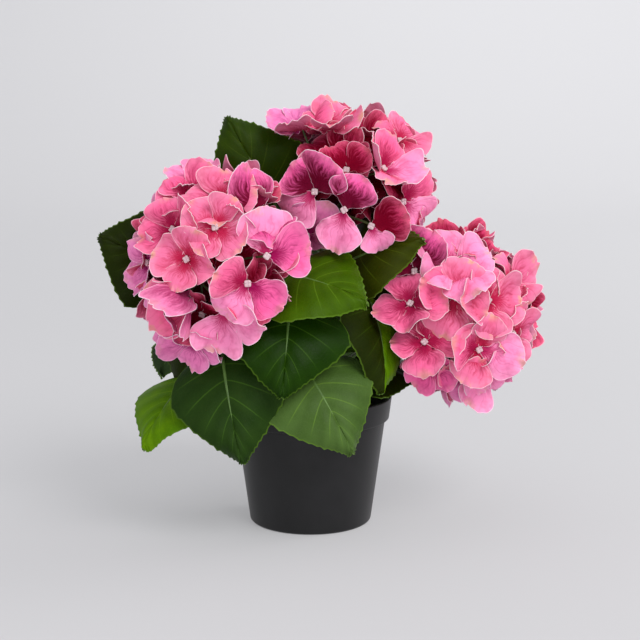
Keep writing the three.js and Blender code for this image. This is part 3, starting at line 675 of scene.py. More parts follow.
def pick(piece, kind, wanted):
    """In edit mode, selects the vertices, edges or faces that wanted() accepts, and no others."""
    bpy.ops.object.mode_set(mode="EDIT")
    bpy.ops.mesh.select_mode(type=kind)
    bpy.ops.mesh.select_all(action="DESELECT")
    bpy.ops.object.mode_set(mode="OBJECT")
    items = {"VERT": piece.data.vertices, "EDGE": piece.data.edges, "FACE": piece.data.polygons}[kind]
    for item in items:
        item.select = bool(wanted(item))
    bpy.ops.object.mode_set(mode="EDIT")


def resize_to(x, y=1.0, z=1.0, centre=(0, 0, 0)):
    bpy.ops.transform.resize(value=(x, y, z), center_override=centre)


def apply_modifier(piece, kind, **settings):
    deselect()
    piece.select_set(True)
    bpy.context.view_layer.objects.active = piece
    modifier = piece.modifiers.new(kind.title(), kind)
    for key, value in settings.items():
        setattr(modifier, key, value)
    bpy.ops.object.modifier_apply(modifier=modifier.name)


def smooth(piece, degrees=40):
    deselect()
    piece.select_set(True)
    bpy.context.view_layer.objects.active = piece
    bpy.ops.object.shade_smooth_by_angle(angle=math.radians(degrees))


def remove(piece):
    bpy.data.objects.remove(piece, do_unlink=True)


def shape_of(piece):
    """A modelled piece's points and faces, for copies that are bent one by one."""
    points = np.empty(len(piece.data.vertices) * 3)
    piece.data.vertices.foreach_get("co", points)
    return points.reshape(-1, 3), [tuple(face.vertices) for face in piece.data.polygons]


def joined(name, copies, materials):
    """One piece of many bent copies. A copy is its points in millimetres, its faces, the index of each
    face's material and, where it has a pattern, each point's place on it."""
    points, faces, slots, places, start = [], [], [], [], 0
    for copy in copies:
        points.append(copy["points"])
        faces += [tuple(i + start for i in face) for face in copy["faces"]]
        slots += copy["slots"]
        places.append(copy.get("places", np.zeros((len(copy["points"]), 2))))
        start += len(copy["points"])
    mesh = bpy.data.meshes.new(name)
    mesh.from_pydata((np.concatenate(points) * METRES).tolist(), [], faces)
    mesh.polygons.foreach_set("material_index", np.array(slots, np.int32))
    for material in materials:
        mesh.materials.append(material)
    corners = np.empty(len(mesh.loops), np.int32)
    mesh.loops.foreach_get("vertex_index", corners)
    pattern = mesh.uv_layers.new(name="pattern")
    pattern.uv.foreach_set("vector", np.concatenate(places)[corners].astype(np.float32).ravel())
    mesh.update()
    piece = bpy.data.objects.new(name, mesh)
    bpy.context.scene.collection.objects.link(piece)
    return piece


def plain_copy(points, faces):
    """A bent copy that is all of one material."""
    return {"points": points, "faces": faces, "slots": [0] * len(faces)}


def finish_piece(piece, slot, *nodes):
    """The piece rides with the plant and stands for the nodes, which are hidden. Its slot is not used."""
    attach(piece, "root")
    if nodes:
        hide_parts(*nodes)


def moulded_piece(name, copies, material, slot, *nodes, degrees=60):
    """A piece of one plastic."""
    piece = joined(name, copies, [material])
    smooth(piece, degrees)
    finish_piece(piece, slot, *nodes)


def cloth_piece(name, copies, fronts, backs, edges, thickness, slot, node):
    """A piece of cut cloth. Each sheet gets its thickness, and its back and cut edge their materials.
    The pattern's tiles lie in three rows, for the fronts, the backs and the edges."""
    piece = joined(name, copies, fronts + backs + edges)
    count = len(fronts)
    apply_modifier(piece, "SOLIDIFY", thickness=thickness * METRES, offset=0.0, material_offset=count,
                   material_offset_rim=2 * count)
    lay_tiles(piece, count, 3, range(2 * count, 2 * count + len(edges)))
    smooth(piece, 50)
    finish_piece(piece, slot, node)


def lay_tiles(piece, columns, rows, edge_tiles):
    """A second map, on which each material's pattern has a tile of its own. Faces on a cut edge have
    no width on the pattern, so each fills its tile."""
    mesh = piece.data
    count = len(mesh.loops)
    slots = np.empty(len(mesh.polygons), np.int32)
    mesh.polygons.foreach_get("material_index", slots)
    starts = np.empty(len(mesh.polygons), np.int32)
    mesh.polygons.foreach_get("loop_start", starts)
    totals = np.empty(len(mesh.polygons), np.int32)
    mesh.polygons.foreach_get("loop_total", totals)
    slot_of = np.repeat(slots, totals)
    turn = np.arange(count) - np.repeat(starts, totals)
    at = np.empty(count * 2, np.float32)
    mesh.uv_layers["pattern"].uv.foreach_get("vector", at)
    at = at.reshape(-1, 2)
    corner = np.array([[0, 0], [1, 0], [1, 1], [0, 1]], np.float32)[turn % 4]
    edge = np.isin(slot_of, edge_tiles)
    at = np.where(edge[:, None], corner, at)
    tile = np.stack([slot_of % columns, slot_of // columns], 1)
    margin = 0.02
    laid = (tile + margin + (1 - 2 * margin) * at) / (columns, rows)
    layer = mesh.uv_layers.new(name="OFBake")
    layer.uv.foreach_set("vector", laid.astype(np.float32).ravel())
    mesh.uv_layers.active = mesh.uv_layers["pattern"]


# ---- Materials -------------------------------------------------------------------------------------


class Nodes:
    """A material's nodes, with short names for the ones used here."""

    def __init__(self, name):
        self.material = bpy.data.materials.new(name)
        self.material.use_nodes = True
        self.tree = self.material.node_tree
        self.shader = self.tree.nodes["Principled BSDF"]

    def add(self, kind, inputs=(), **settings):
        node = self.tree.nodes.new("ShaderNode" + kind)
        for key, value in settings.items():
            setattr(node, key, value)
        for key, value in dict(inputs).items():
            self.feed(node.inputs[key], value)
        return node

    def feed(self, socket, value):
        if isinstance(value, bpy.types.NodeSocket):
            self.tree.links.new(value, socket)
        else:
            socket.default_value = value

    def maths(self, operation, a, b=0.0, c=0.0):
        return self.add("Math", {0: a, 1: b, 2: c}, operation=operation).outputs[0]

    def ramp(self, value, low, high):
        """0 at low and 1 at high, with soft ends. Low may be the greater of the two."""
        node = self.add("MapRange", {0: value, 1: low, 2: high}, interpolation_type="SMOOTHSTEP")
        return node.outputs[0]

    def distance(self, x, y):
        squares = self.maths("ADD", self.maths("MULTIPLY", x, x), self.maths("MULTIPLY", y, y))
        return self.maths("SQRT", squares)

    def mix(self, share, a, b):
        node = self.add("Mix", data_type="RGBA")
        self.feed(node.inputs[0], share)
        self.feed(node.inputs[6], a)
        self.feed(node.inputs[7], b)
        return node.outputs[2]

    def noise(self, vector, scale, detail=2.0, roughness=0.5):
        inputs = {"Vector": vector, "Scale": scale, "Detail": detail, "Roughness": roughness}
        return self.add("TexNoise", inputs).outputs["Fac"]

    def bump(self, height, strength, distance):
        inputs = {"Height": height, "Strength": strength, "Distance": distance}
        self.feed(self.shader.inputs["Normal"], self.add("Bump", inputs).outputs[0])

    def here(self):
        return self.add("TexCoord").outputs["Object"]

    def pattern(self):
        return self.add("UVMap", uv_map="pattern").outputs[0]

    def set(self, **values):
        for key, value in values.items():
            self.feed(self.shader.inputs[key.replace("_", " ")], value)


def rgb(red, green, blue):
    return (red, green, blue, 1.0)


CLAW_BELOW_MIDDLE = 1.1  # on a petal's round pattern, whose rim is at 1
CREAM = rgb(0.72, 0.5, 0.24)


def darker(colour, share):
    return rgb(*(share * c for c in colour[:3]))


def petal_material(name, blade, throat, edge, cream, depth):
    """Printed cloth: a deep throat that breaks up into veins, mottled lobes, a creamy tip and a pale cut
    margin. The dark throat is partly print and partly painted shade of the cupped petal. The throat runs
    as far out as depth, of about 2 from the claw to the tip."""
    n = Nodes(name)
    place = n.add("SeparateXYZ", {0: n.pattern()})
    x = n.maths("MULTIPLY_ADD", place.outputs[0], 2.0, -1.0)
    y = n.maths("MULTIPLY_ADD", place.outputs[1], 2.0, -1.0)
    radius = n.distance(x, y)
    out = n.maths("ADD", y, CLAW_BELOW_MIDDLE)
    angle = n.maths("ARCTAN2", x, out)
    reach = n.distance(x, out)
    fan = n.add("CombineXYZ", {0: n.maths("MULTIPLY", angle, 5.0), 1: n.maths("MULTIPLY", reach, 1.1)})
    streaks = n.noise(fan.outputs[0], 2.4, 3.0, 0.65)
    mottle = n.noise(n.here(), 130.0, 2.0, 0.6)
    wander = n.noise(n.here(), 90.0, 1.0)
    bent = n.maths("MULTIPLY_ADD", wander, 0.5, n.maths("MULTIPLY", angle, 4.2))
    width = n.maths("DIVIDE", 0.12, n.maths("ADD", reach, 0.2))
    veins = n.ramp(n.maths("PINGPONG", bent, 0.5), width, 0.0)
    # the throat: partly print and partly painted shade where the petal cups
    deep = n.ramp(n.maths("MULTIPLY_ADD", streaks, 1.5, reach), depth + 1.35, depth + 0.45)
    fade = n.ramp(reach, depth + 1.2, 0.5)
    colour = n.mix(n.maths("MULTIPLY", n.ramp(radius, 0.45, 1.0), 0.14), blade, edge)
    colour = n.mix(n.maths("MULTIPLY", n.ramp(mottle, 0.42, 0.7), 0.3), colour, throat)
    colour = n.mix(n.maths("MULTIPLY", deep, 0.96), colour, throat)
    colour = n.mix(n.maths("MULTIPLY", n.maths("MULTIPLY", veins, fade), 0.4), colour, throat)
    near_tip = n.maths("MULTIPLY", n.ramp(y, 0.45, 1.0), n.ramp(mottle, 0.42, 0.56))
    colour = n.mix(n.maths("MULTIPLY", near_tip, cream), colour, CREAM)
    colour = n.mix(n.maths("MULTIPLY", n.ramp(radius, 0.968, 0.99), 0.75), colour, edge)
    n.set(Base_Color=colour, Roughness=0.75)
    n.shader.inputs["Specular IOR Level"].default_value = 0.0
    grain = n.noise(n.here(), 900.0, 2.0)
    relief = n.maths("MULTIPLY_ADD", veins, -0.7, n.maths("MULTIPLY_ADD", grain, 0.35, streaks))
    n.bump(relief, 0.5, 0.0006)
    return n.material


def petal_edge_material(name, throat, edge):
    """A petal's cut edge, pale round the lobe and dark at the claw."""
    n = Nodes(name)
    along = n.add("SeparateXYZ", {0: n.pattern()}).outputs[1]
    fray = n.noise(n.here(), 1400.0, 2.0)
    pale = n.mix(n.ramp(fray, 0.3, 0.75), darker(edge, 0.75), edge)
    n.set(Base_Color=n.mix(n.ramp(along, 0.2, 0.6), throat, pale), Roughness=0.8)
    return n.material


def edge_material(name, colour, roughness):
    """The cut and slightly frayed edge of coated cloth."""
    n = Nodes(name)
    fray = n.noise(n.here(), 1400.0, 2.0)
    colour = n.mix(n.ramp(fray, 0.3, 0.75), darker(colour, 0.72), colour)
    n.set(Base_Color=colour, Roughness=roughness)
    return n.material


def leaf_material(name, blade, light, vein, margin, roughness):
    """Coated cloth, printed with a midrib and side veins that fan forward, and a pale margin."""
    n = Nodes(name)
    place = n.add("SeparateXYZ", {0: n.pattern()})
    v = n.maths("ABSOLUTE", n.maths("MULTIPLY_ADD", place.outputs[0], 2.0, -1.0))
    row = n.maths("MULTIPLY", place.outputs[1], VEINS)
    off_vein = n.maths("PINGPONG", row, 0.5)
    side_width = n.maths("MULTIPLY_ADD", v, -0.02, 0.03)
    side = n.ramp(n.maths("SUBTRACT", off_vein, side_width), 0.03, -0.01)
    side = n.maths("MULTIPLY", side, n.ramp(v, 1.0, 0.55))
    mid = n.ramp(v, 0.034, 0.014)
    veins = n.maths("MAXIMUM", side, mid)
    net = n.add("TexVoronoi", {"Vector": n.here(), "Scale": 330.0}, feature="DISTANCE_TO_EDGE")
    threads = n.ramp(net.outputs["Distance"], 0.12, 0.0)
    mottle = n.ramp(n.noise(n.here(), 38.0, 3.0, 0.6), 0.35, 0.7)
    between = n.ramp(off_vein, 0.1, 0.5)
    colour = n.mix(n.maths("MULTIPLY", mottle, 0.7), blade, light)
    colour = n.mix(n.maths("MULTIPLY", between, 0.3), colour, darker(blade, 0.62))
    colour = n.mix(n.maths("MULTIPLY", threads, 0.16), colour, light)
    colour = n.mix(n.maths("MULTIPLY", veins, 0.5), colour, vein)
    colour = n.mix(n.maths("MULTIPLY", n.ramp(v, 0.975, 0.99), 0.35), colour, margin)
    gloss = n.maths("MULTIPLY_ADD", mottle, 0.12, roughness - 0.04)
    n.set(Base_Color=colour, Roughness=gloss)
    n.shader.inputs["Specular IOR Level"].default_value = 0.05
    weave = n.noise(n.here(), 1300.0, 1.0)
    relief = n.maths("MULTIPLY_ADD", threads, -0.5, n.maths("MULTIPLY", weave, 0.5))
    n.bump(relief, 0.3, 0.0004)
    return n.material


def limb_material(name, dark, light, roughness=0.5):
    """Moulded plastic with faint lengthwise streaks."""
    n = Nodes(name)
    streaks = n.noise(n.here(), 220.0, 3.0, 0.6)
    mottle = n.noise(n.here(), 60.0, 2.0)
    both = n.maths("MULTIPLY_ADD", streaks, 0.5, n.maths("MULTIPLY", mottle, 0.5))
    colour = n.mix(n.ramp(both, 0.35, 0.65), dark, light)
    n.set(Base_Color=colour, Roughness=roughness)
    n.bump(streaks, 0.25, 0.0005)
    return n.material


def pot_material():
    """Dark satin plastic with the fine grain of its mould and a little dust."""
    n = Nodes("pot_plastic")
    grain = n.noise(n.here(), 1600.0, 2.0)
    haze = n.noise(n.here(), 24.0, 3.0, 0.6)
    colour = n.mix(n.ramp(haze, 0.35, 0.75), rgb(0.0085, 0.0085, 0.009), rgb(0.0125, 0.0125, 0.0135))
    n.set(Base_Color=colour, Roughness=n.maths("MULTIPLY_ADD", haze, 0.1, 0.36))
    n.shader.inputs["Specular IOR Level"].default_value = 0.3
    n.bump(grain, 0.12, 0.0003)
    return n.material


def ballast_material():
    """Set crumb, like soil."""
    n = Nodes("ballast_crumb")
    lumps = n.noise(n.here(), 260.0, 4.0, 0.7)
    colour = n.mix(n.ramp(lumps, 0.35, 0.7), rgb(0.02, 0.014, 0.01), rgb(0.09, 0.066, 0.045))
    n.set(Base_Color=colour, Roughness=0.95)
    n.bump(lumps, 0.8, 0.002)
    return n.material


# A petal's blade, its throat, its edge, how much cream shows at its tip and how far its throat runs.
# The tints are lit and shaded copies of one pink cloth: salmon is painted light, pink, rose and fuchsia
# lie between, magenta and mauve are painted shade, magenta's throat dark almost to its edge, crimson is
# painted shade for florets tucked beside the front ones, and deep is the darkest painted shade, for the
# inner florets.
PETAL_TINTS = {
    "salmon": (rgb(0.83, 0.18, 0.35), rgb(0.48, 0.012, 0.06), rgb(0.97, 0.68, 0.75), 0.55, 0.85),
    "pink": (rgb(0.97, 0.29, 0.55), rgb(0.46, 0.012, 0.1), rgb(0.97, 0.74, 0.84), 0.45, 0.65),
    "rose": (rgb(0.88, 0.14, 0.32), rgb(0.36, 0.006, 0.055), rgb(0.95, 0.64, 0.73), 0.35, 0.9),
    "fuchsia": (rgb(0.88, 0.13, 0.37), rgb(0.3, 0.002, 0.07), rgb(0.94, 0.6, 0.74), 0.25, 0.75),
    "magenta": (rgb(0.93, 0.12, 0.39), rgb(0.13, 0.0003, 0.014), rgb(0.93, 0.66, 0.78), 0.2, 1.25),
    "mauve": (rgb(0.84, 0.22, 0.49), rgb(0.3, 0.005, 0.11), rgb(0.92, 0.64, 0.8), 0.3, 0.75),
    "crimson": (rgb(0.72, 0.055, 0.17), rgb(0.2, 0.0005, 0.014), rgb(0.93, 0.5, 0.6), 0.1, 1.35),
    "deep": (rgb(0.28, 0.004, 0.03), rgb(0.08, 0.0004, 0.007), rgb(0.6, 0.16, 0.24), 0.0, 1.2),
}
# A leaf's blade, its lighter mottle, its veins and how rough it is. Lime is painted light, bright as
# where light shines through a leaf, and sage's paler, bluer green is partly painted sheen.
LEAF_TINTS = {
    "deep": (rgb(0.008, 0.03, 0.0006), rgb(0.013, 0.042, 0.001), rgb(0.045, 0.11, 0.008), 0.38),
    "high": (rgb(0.016, 0.036, 0.0008), rgb(0.026, 0.05, 0.0015), rgb(0.045, 0.08, 0.005), 0.42),
    "slate": (rgb(0.013, 0.036, 0.004), rgb(0.022, 0.052, 0.007), rgb(0.05, 0.12, 0.012), 0.4),
    "mid": (rgb(0.04, 0.09, 0.001), rgb(0.06, 0.13, 0.003), rgb(0.12, 0.24, 0.012), 0.36),
    "sage": (rgb(0.05, 0.1, 0.018), rgb(0.075, 0.14, 0.03), rgb(0.13, 0.24, 0.03), 0.36),
    "lime": (rgb(0.06, 0.15, 0.0005), rgb(0.11, 0.23, 0.001), rgb(0.15, 0.3, 0.006), 0.42),
    "olive": (rgb(0.026, 0.034, 0.001), rgb(0.042, 0.054, 0.002), rgb(0.08, 0.12, 0.006), 0.42),
    "dark": (rgb(0.011, 0.019, 0.0006), rgb(0.018, 0.03, 0.001), rgb(0.03, 0.06, 0.003), 0.42),
}
LEAF_MARGIN = rgb(0.13, 0.25, 0.02)


def paler(colour, share, towards):
    """The colour with a share of another in it."""
    return rgb(*(a * (1 - share) + b * share for a, b in zip(colour[:3], towards[:3])))


petal_fronts = [petal_material(f"petal_{name}", blade, throat, edge, cream, depth)
                for name, (blade, throat, edge, cream, depth) in PETAL_TINTS.items()]
petal_backs = [petal_material(f"petal_{name}_back", paler(blade, 0.35, (0.8, 0.4, 0.58)),
                              paler(throat, 0.35, blade), edge, cream, depth)
               for name, (blade, throat, edge, cream, depth) in PETAL_TINTS.items()]
petal_edges = [petal_edge_material(f"petal_{name}_edge", throat, paler(edge, 0.35, (1.0, 0.9, 0.9)))
               for name, (_, throat, edge, *_) in PETAL_TINTS.items()]
leaf_fronts = [leaf_material(f"leaf_{name}", blade, light, vein, LEAF_MARGIN, gloss)
               for name, (blade, light, vein, gloss) in LEAF_TINTS.items()]
leaf_backs = [leaf_material(f"leaf_{name}_back", paler(blade, 0.45, (0.12, 0.2, 0.08)),
                            paler(light, 0.4, (0.14, 0.22, 0.1)), vein, LEAF_MARGIN, 0.6)
              for name, (blade, light, vein, _) in LEAF_TINTS.items()]
leaf_edge = edge_material("leaf_cut_edge", LEAF_MARGIN, 0.6)
green_plastic = limb_material("stem_plastic", rgb(0.03, 0.075, 0.014), rgb(0.07, 0.15, 0.03))
petiole_plastic = limb_material("petiole_plastic", rgb(0.05, 0.11, 0.015), rgb(0.1, 0.2, 0.035))
pedicel_plastic = limb_material("pedicel_plastic", rgb(0.035, 0.06, 0.012), rgb(0.075, 0.1, 0.03), 0.6)
bead_material = edge_material("bead_pale", rgb(0.74, 0.54, 0.58), 0.6)


# ---- Blossom heads ---------------------------------------------------------------------------------

PETAL_POINTS = 64  # round a petal's outline
PETAL_RINGS = (0.965, 0.82, 0.58, 0.3)
NEAR = 1e-4


def model_petal():
    """A flat petal, one long and one to each side: a disc drawn to the petal's outline, with rings."""
    piece = added("petal_model", bpy.ops.mesh.primitive_circle_add, vertices=PETAL_POINTS, radius=0.5,
                  fill_type="NGON", location=(0, 0.5, 0))
    rows = sorted({round(v.co.y, 5) for v in piece.data.vertices if NEAR < v.co.y < 1 - NEAR})
    for row in rows:
        pick(piece, "VERT", lambda v: abs(v.co.y - row) < NEAR)
        half_chord = math.sqrt(max(1e-9, 0.25 - (row - 0.5) ** 2))
        resize_to(petal_breadth(row) / half_chord)
    pick(piece, "FACE", lambda face: True)
    before = 1.0
    for ring in PETAL_RINGS:
        bpy.ops.mesh.inset(thickness=0, depth=0)
        resize_to(ring / before, ring / before, 1, (0, 0.5, 0))
        before = ring
    bpy.ops.mesh.poke()
    bpy.ops.mesh.select_all(action="SELECT")
    bpy.ops.mesh.flip_normals()
    bpy.ops.object.mode_set(mode="OBJECT")
    points, faces = shape_of(piece)
    remove(piece)
    return points, faces


def disc_places(points):
    """Where the petal's points lie on a round pattern: rings stay rings, and the claw is at its foot."""
    centre = np.array([0, 0.5])
    out = points[:, :2] - centre
    angle = np.linspace(0, 2 * math.pi, 721)
    outline = np.array([petal_edge(a) for a in angle])
    turn = np.arctan2(out[:, 1], out[:, 0]) % (2 * math.pi)
    reach = np.hypot(out[:, 0], out[:, 1])
    radius = np.clip(reach / np.interp(turn, angle, outline), 0, 1)
    return np.stack([radius * np.cos(turn), radius * np.sin(turn)], 1)


def petal_edge(angle):
    """The distance from the petal's middle to its outline."""
    low, high = 0.0, 1.6
    for _ in range(30):
        mid = (low + high) / 2
        s = 0.5 + mid * math.sin(angle)
        inside = 0 < s < 1 and abs(mid * math.cos(angle)) < petal_breadth(s)
        low, high = (mid, high) if inside else (low, mid)
    return low


def model_bead():
    """The four-lobed bead in a floret's middle."""
    piece = added("bead_model", bpy.ops.mesh.primitive_cube_add, size=1)
    bpy.ops.object.mode_set(mode="EDIT")
    bpy.ops.mesh.subdivide(number_cuts=1)
    pick(piece, "FACE", lambda face: face.normal.z > 0.9)
    bpy.ops.mesh.inset(thickness=0.06, use_individual=True)
    bpy.ops.transform.translate(value=(0, 0, 0.28))
    pick(piece, "VERT", lambda v: v.co.z < -0.4)
    resize_to(0.5, 0.5, 1)
    bpy.ops.object.mode_set(mode="OBJECT")
    apply_modifier(piece, "SUBSURF", levels=1, render_levels=1)
    points, faces = shape_of(piece)
    remove(piece)
    return points, faces


def model_tube(sides, steps):
    """A straight tube a unit long and a unit in radius, closed at both ends, with rings."""
    piece = added("tube_model", bpy.ops.mesh.primitive_circle_add, vertices=sides, radius=1,
                  fill_type="NGON")
    pick(piece, "FACE", lambda face: True)
    for _ in range(steps):
        bpy.ops.mesh.extrude_region_move(TRANSFORM_OT_translate={"value": (0, 0, 1 / steps)})
    bpy.ops.mesh.select_all(action="SELECT")
    bpy.ops.mesh.normals_make_consistent(inside=False)
    bpy.ops.object.mode_set(mode="OBJECT")
    points, faces = shape_of(piece)
    remove(piece)
    return points, faces


ASKEW = (0.31, 0.83, 0.47)  # a way that no limb or stalk starts along


def along_path(tube, path, radii, relief=None):
    """The tube's points bent along a path, with the radii spread from one end to the other."""
    points = tube[0]
    tangents = np.gradient(path, axis=0)
    tangents /= np.linalg.norm(tangents, axis=1)[:, None]
    sides = np.empty_like(path)
    side = unit(np.cross(tangents[0], ASKEW))
    for k, tangent in enumerate(tangents):
        side = unit(side - tangent * side.dot(tangent))
        sides[k] = side
    fore = np.cross(tangents, sides)
    place = points[:, 2] * (len(path) - 1)

    def between(rows):
        return np.stack([np.interp(place, np.arange(len(path)), rows[:, k]) for k in range(3)], 1)

    radius = np.interp(points[:, 2], np.linspace(0, 1, len(radii)), radii)
    if relief is not None:
        radius = radius * relief(np.arctan2(points[:, 1], points[:, 0]), points[:, 2])
    return (between(path) + between(sides) * (points[:, :1] * radius[:, None])
            + between(fore) * (points[:, 1:2] * radius[:, None]))


TINT_ORDER = list(PETAL_TINTS)


def bead_on(floret, bead):
    """A bead on a floret's hub, turned by half the angle between two petals."""
    points, faces = bead
    body = points * (BEAD["width"], BEAD["width"], BEAD["height"]) + (0, 0, BEAD["rise"])
    turn = floret["petals"][0]["angle"] + math.pi / PETALS
    cos, sin = math.cos(turn), math.sin(turn)
    x, y = body[:, 0] * cos - body[:, 1] * sin, body[:, 0] * sin + body[:, 1] * cos
    placed = (floret["hub"] + np.outer(x, floret["east"]) + np.outer(y, floret["north"])
              + np.outer(body[:, 2], floret["normal"]))
    return plain_copy(placed, faces)


def pedicel_of(floret, tip, knots, twig):
    """A floret's stalk, from the nearest of the knots where the head's rays end."""
    hub = floret["hub"]
    knot = min(knots, key=lambda at: np.linalg.norm(at - hub))
    reach = np.linalg.norm(hub - knot)
    bends = (knot + unit(knot - tip) * reach * 0.35, hub - floret["normal"] * reach * 0.3)
    path = bezier((knot, *bends, hub), np.linspace(0, 1, 9))
    return plain_copy(along_path(twig, path, PEDICEL_RADII), twig[1])


def ray_knots(head):
    """Where a head's rays fork into pedicels: a small dome inside it."""
    knots = []
    for k in range(RAYS["count"]):
        around, sine, cosine = spiral_way(head, k, RAYS["count"], RAYS["drop"])
        knots.append(np.array(head["centre"]) + around * sine * head["across"] * RAYS["reach"]
                     + direction(head["pole"]) * cosine * head["along"] * RAYS["reach"])
    return knots


def ray_to(knot, head, twig):
    """The ray from the bough's tip to a knot."""
    tip = bough_tip(head)
    bend = tip + direction(head["pole"]) * head["along"] * RAYS["rise"]
    path = bezier((tip, bend, knot), np.linspace(0, 1, 9))
    return plain_copy(along_path(twig, path, RAY_RADII), twig[1])


def make_head(name, petal, bead, twig):
    """A head's large and small petals, its beads and its rays and pedicels."""
    head = HEADS[name]
    points, faces = petal
    places = disc_places(points)
    knots = ray_knots(head)
    petals, beads, stalks = {"large": [], "small": []}, [], []
    for floret in florets_of(name):
        shapes = [fitted_petal(head, floret, shape) for shape in floret["petals"]]
        shapes = [shape for shape in shapes if shape]
        for shape in shapes:
            slots = [TINT_ORDER.index(shape["tint"])] * len(faces)
            bent = petal_points(floret, shape, points[:, 1], points[:, 0], places)
            petals[shape["kind"]].append(
                {"points": bent, "faces": faces, "slots": slots, "places": places * 0.5 + 0.5})
        if shapes:
            beads.append(bead_on(floret, bead))
            stalks.append(pedicel_of(floret, bough_tip(head), knots, twig))
    stalks += [ray_to(knot, head, twig) for knot in knots]
    for kind, copies in petals.items():
        cloth_piece(f"{kind}_petals_{name}", copies, petal_fronts, petal_backs, petal_edges,
                    PETAL_THICKNESS, "petal", f"blossom_{name}")
    moulded_piece(f"beads_{name}", beads, bead_material, "petal", degrees=30)
    moulded_piece(f"pedicels_{name}", stalks, pedicel_plastic, "stem")


# ---- Leaves ----------------------------------------------------------------------------------------

LEAF_ROWS = 54
LEAF_COLUMNS = (0, 0.15, 0.31, 0.47, 0.63, 0.79, 0.93, 1)
TOOTH = 0.85  # how far a tooth stands out
SWEEP = 2.3  # how far forward the side veins run


def model_leaf():
    """A flat leaf whose rows run along its side veins. Gives each point's share of the length and of
    the half width there, its place on the vein pattern, and how far its tooth stands out."""
    half = len(LEAF_COLUMNS) - 1
    piece = added("leaf_model", bpy.ops.mesh.primitive_grid_add, x_subdivisions=2 * half,
                  y_subdivisions=LEAF_ROWS, size=2)
    bpy.ops.object.mode_set(mode="EDIT")
    bpy.ops.mesh.select_all(action="SELECT")
    bpy.ops.mesh.flip_normals()
    bpy.ops.object.mode_set(mode="OBJECT")
    points, faces = shape_of(piece)
    remove(piece)
    column = np.round(points[:, 0] * half).astype(int)
    row = np.round((points[:, 1] + 1) / 2 * LEAF_ROWS).astype(int)
    v = np.sign(column) * np.array(LEAF_COLUMNS)[np.abs(column)]
    m = row / LEAF_ROWS
    at_margin = 1 - (1 - m) ** SWEEP
    s = m + (at_margin - m) * np.abs(v) ** 1.25
    across = v * leaf_breadth(at_margin)
    edge = np.abs(column) == half
    saw = np.array([0.0, 0.4, 1.0])[row % 3]
    tooth = np.where(edge, saw, 0) * np.clip(np.sin(math.pi * m) * 4, 0, 1)
    tooth *= 0.9 + 0.4 * np.sin(row // 3 * 2.4 + np.sign(column)) + 0.25 * np.sin(row // 3 * 5.1)
    side = [v[list(face)].mean() for face in faces]
    return {"s": s, "v": v, "across": across, "m": m, "tooth": tooth, "faces": faces, "side": side}


def leaf_surface(leaf, flat, seed):
    """The flat leaf's points bent by the plan, quilted between its veins and waved at its margin."""
    blade = leaf_frame(leaf)
    s, v, m = flat["s"], flat["v"], flat["m"]
    share = flat["across"] / np.maximum(leaf_breadth(s), 0.02) * (s > 0.001)
    rise = leaf_rise(s, share) * blade["length"]
    off_vein = np.abs((m * VEINS + 0.5) % 1 - 0.5) * 2
    quilt = 0.55 * (off_vein**0.8 - 0.5) * np.sin(math.pi * np.clip(np.abs(v), 0, 1)) ** 0.7
    rib = -0.7 * np.exp(-((v / 0.06) ** 2))
    wave = 1.5 * np.abs(v) ** 3 * np.sin(m * 14 + 2 * np.sign(v) + seed) * np.sin(math.pi * m)
    lift = rise + quilt + rib + wave
    across = flat["across"] * blade["half"] + np.sign(v) * flat["tooth"] * TOOTH
    return (blade["base"] + np.outer(s * blade["length"] + flat["tooth"] * 0.6, blade["along"])
            + np.outer(across, blade["across"]) + np.outer(lift, blade["normal"]))


def rib_path(leaf, count=11):
    """The midrib under the blade."""
    blade = leaf_frame(leaf)
    s = np.linspace(PETIOLE["sunk"], 0.86, count)
    drop = np.linspace(0.2, 1.0, count) ** 0.5 * 1.3
    return (blade["base"] + np.outer(s * blade["length"], blade["along"])
            + np.outer(leaf_rise(s, np.zeros(count)) * blade["length"] - drop, blade["normal"]))


def make_spray(name, flat, twig):
    """A spray's blades, and its shoot and petioles, which run on under the blades as midribs."""
    spray = SPRAYS[name]
    tints = list(LEAF_TINTS)
    knot = np.array(spray["knot"], float)
    blades, stalks = [], []
    for k, leaf in enumerate(spray["leaves"]):
        faces = flat["faces"]
        places = np.stack([flat["v"] * 0.5 + 0.5, flat["m"]], 1)
        halves = (tints.index(leaf["shade"]), tints.index(leaf["tint"]))
        blades.append({"points": leaf_surface(leaf, flat, k + len(name)), "faces": faces,
                       "slots": [halves[v > 0] for v in flat["side"]], "places": places})
        path = evenly(np.concatenate([petiole_path(knot, leaf, 17)[:-1], rib_path(leaf)]), 25)
        radii = (PETIOLE["foot_radius"], 1.35, PETIOLE["tip_radius"], 0.9, 0.35)
        stalks.append(plain_copy(along_path(twig, path, radii), twig[1]))
    shoot = evenly(shoot_path(spray), 12)
    radii = (SHOOT["foot_radius"] * 1.25, SHOOT["foot_radius"], SHOOT["tip_radius"] * 1.1)
    stalks.append(plain_copy(along_path(twig, shoot, radii), twig[1]))
    cloth_piece(f"blades_{name}", blades, leaf_fronts, leaf_backs, [leaf_edge], LEAF_THICKNESS, "leaf",
                f"leaves_{name}")
    moulded_piece(f"petioles_{name}", stalks, petiole_plastic, "stem")


# ---- Boughs and main stem --------------------------------------------------------------------------


def ridged(angle, share):
    """Faint ridges along a limb, with a swollen joint now and then."""
    ridges = 0.035 * np.sin(5 * angle + 3 * share) + 0.02 * np.sin(9 * angle - 5 * share)
    joints = 0.09 * np.exp(-(((share * 4) % 1 - 0.5) / 0.06) ** 2)
    return 1 + ridges + joints


def lobed(angle, share):
    """The main stem's moulded lobes, which wind a little."""
    return 1 + 0.05 * np.sin(7 * angle) + 0.03 * np.sin(3 * angle + 9 * share)


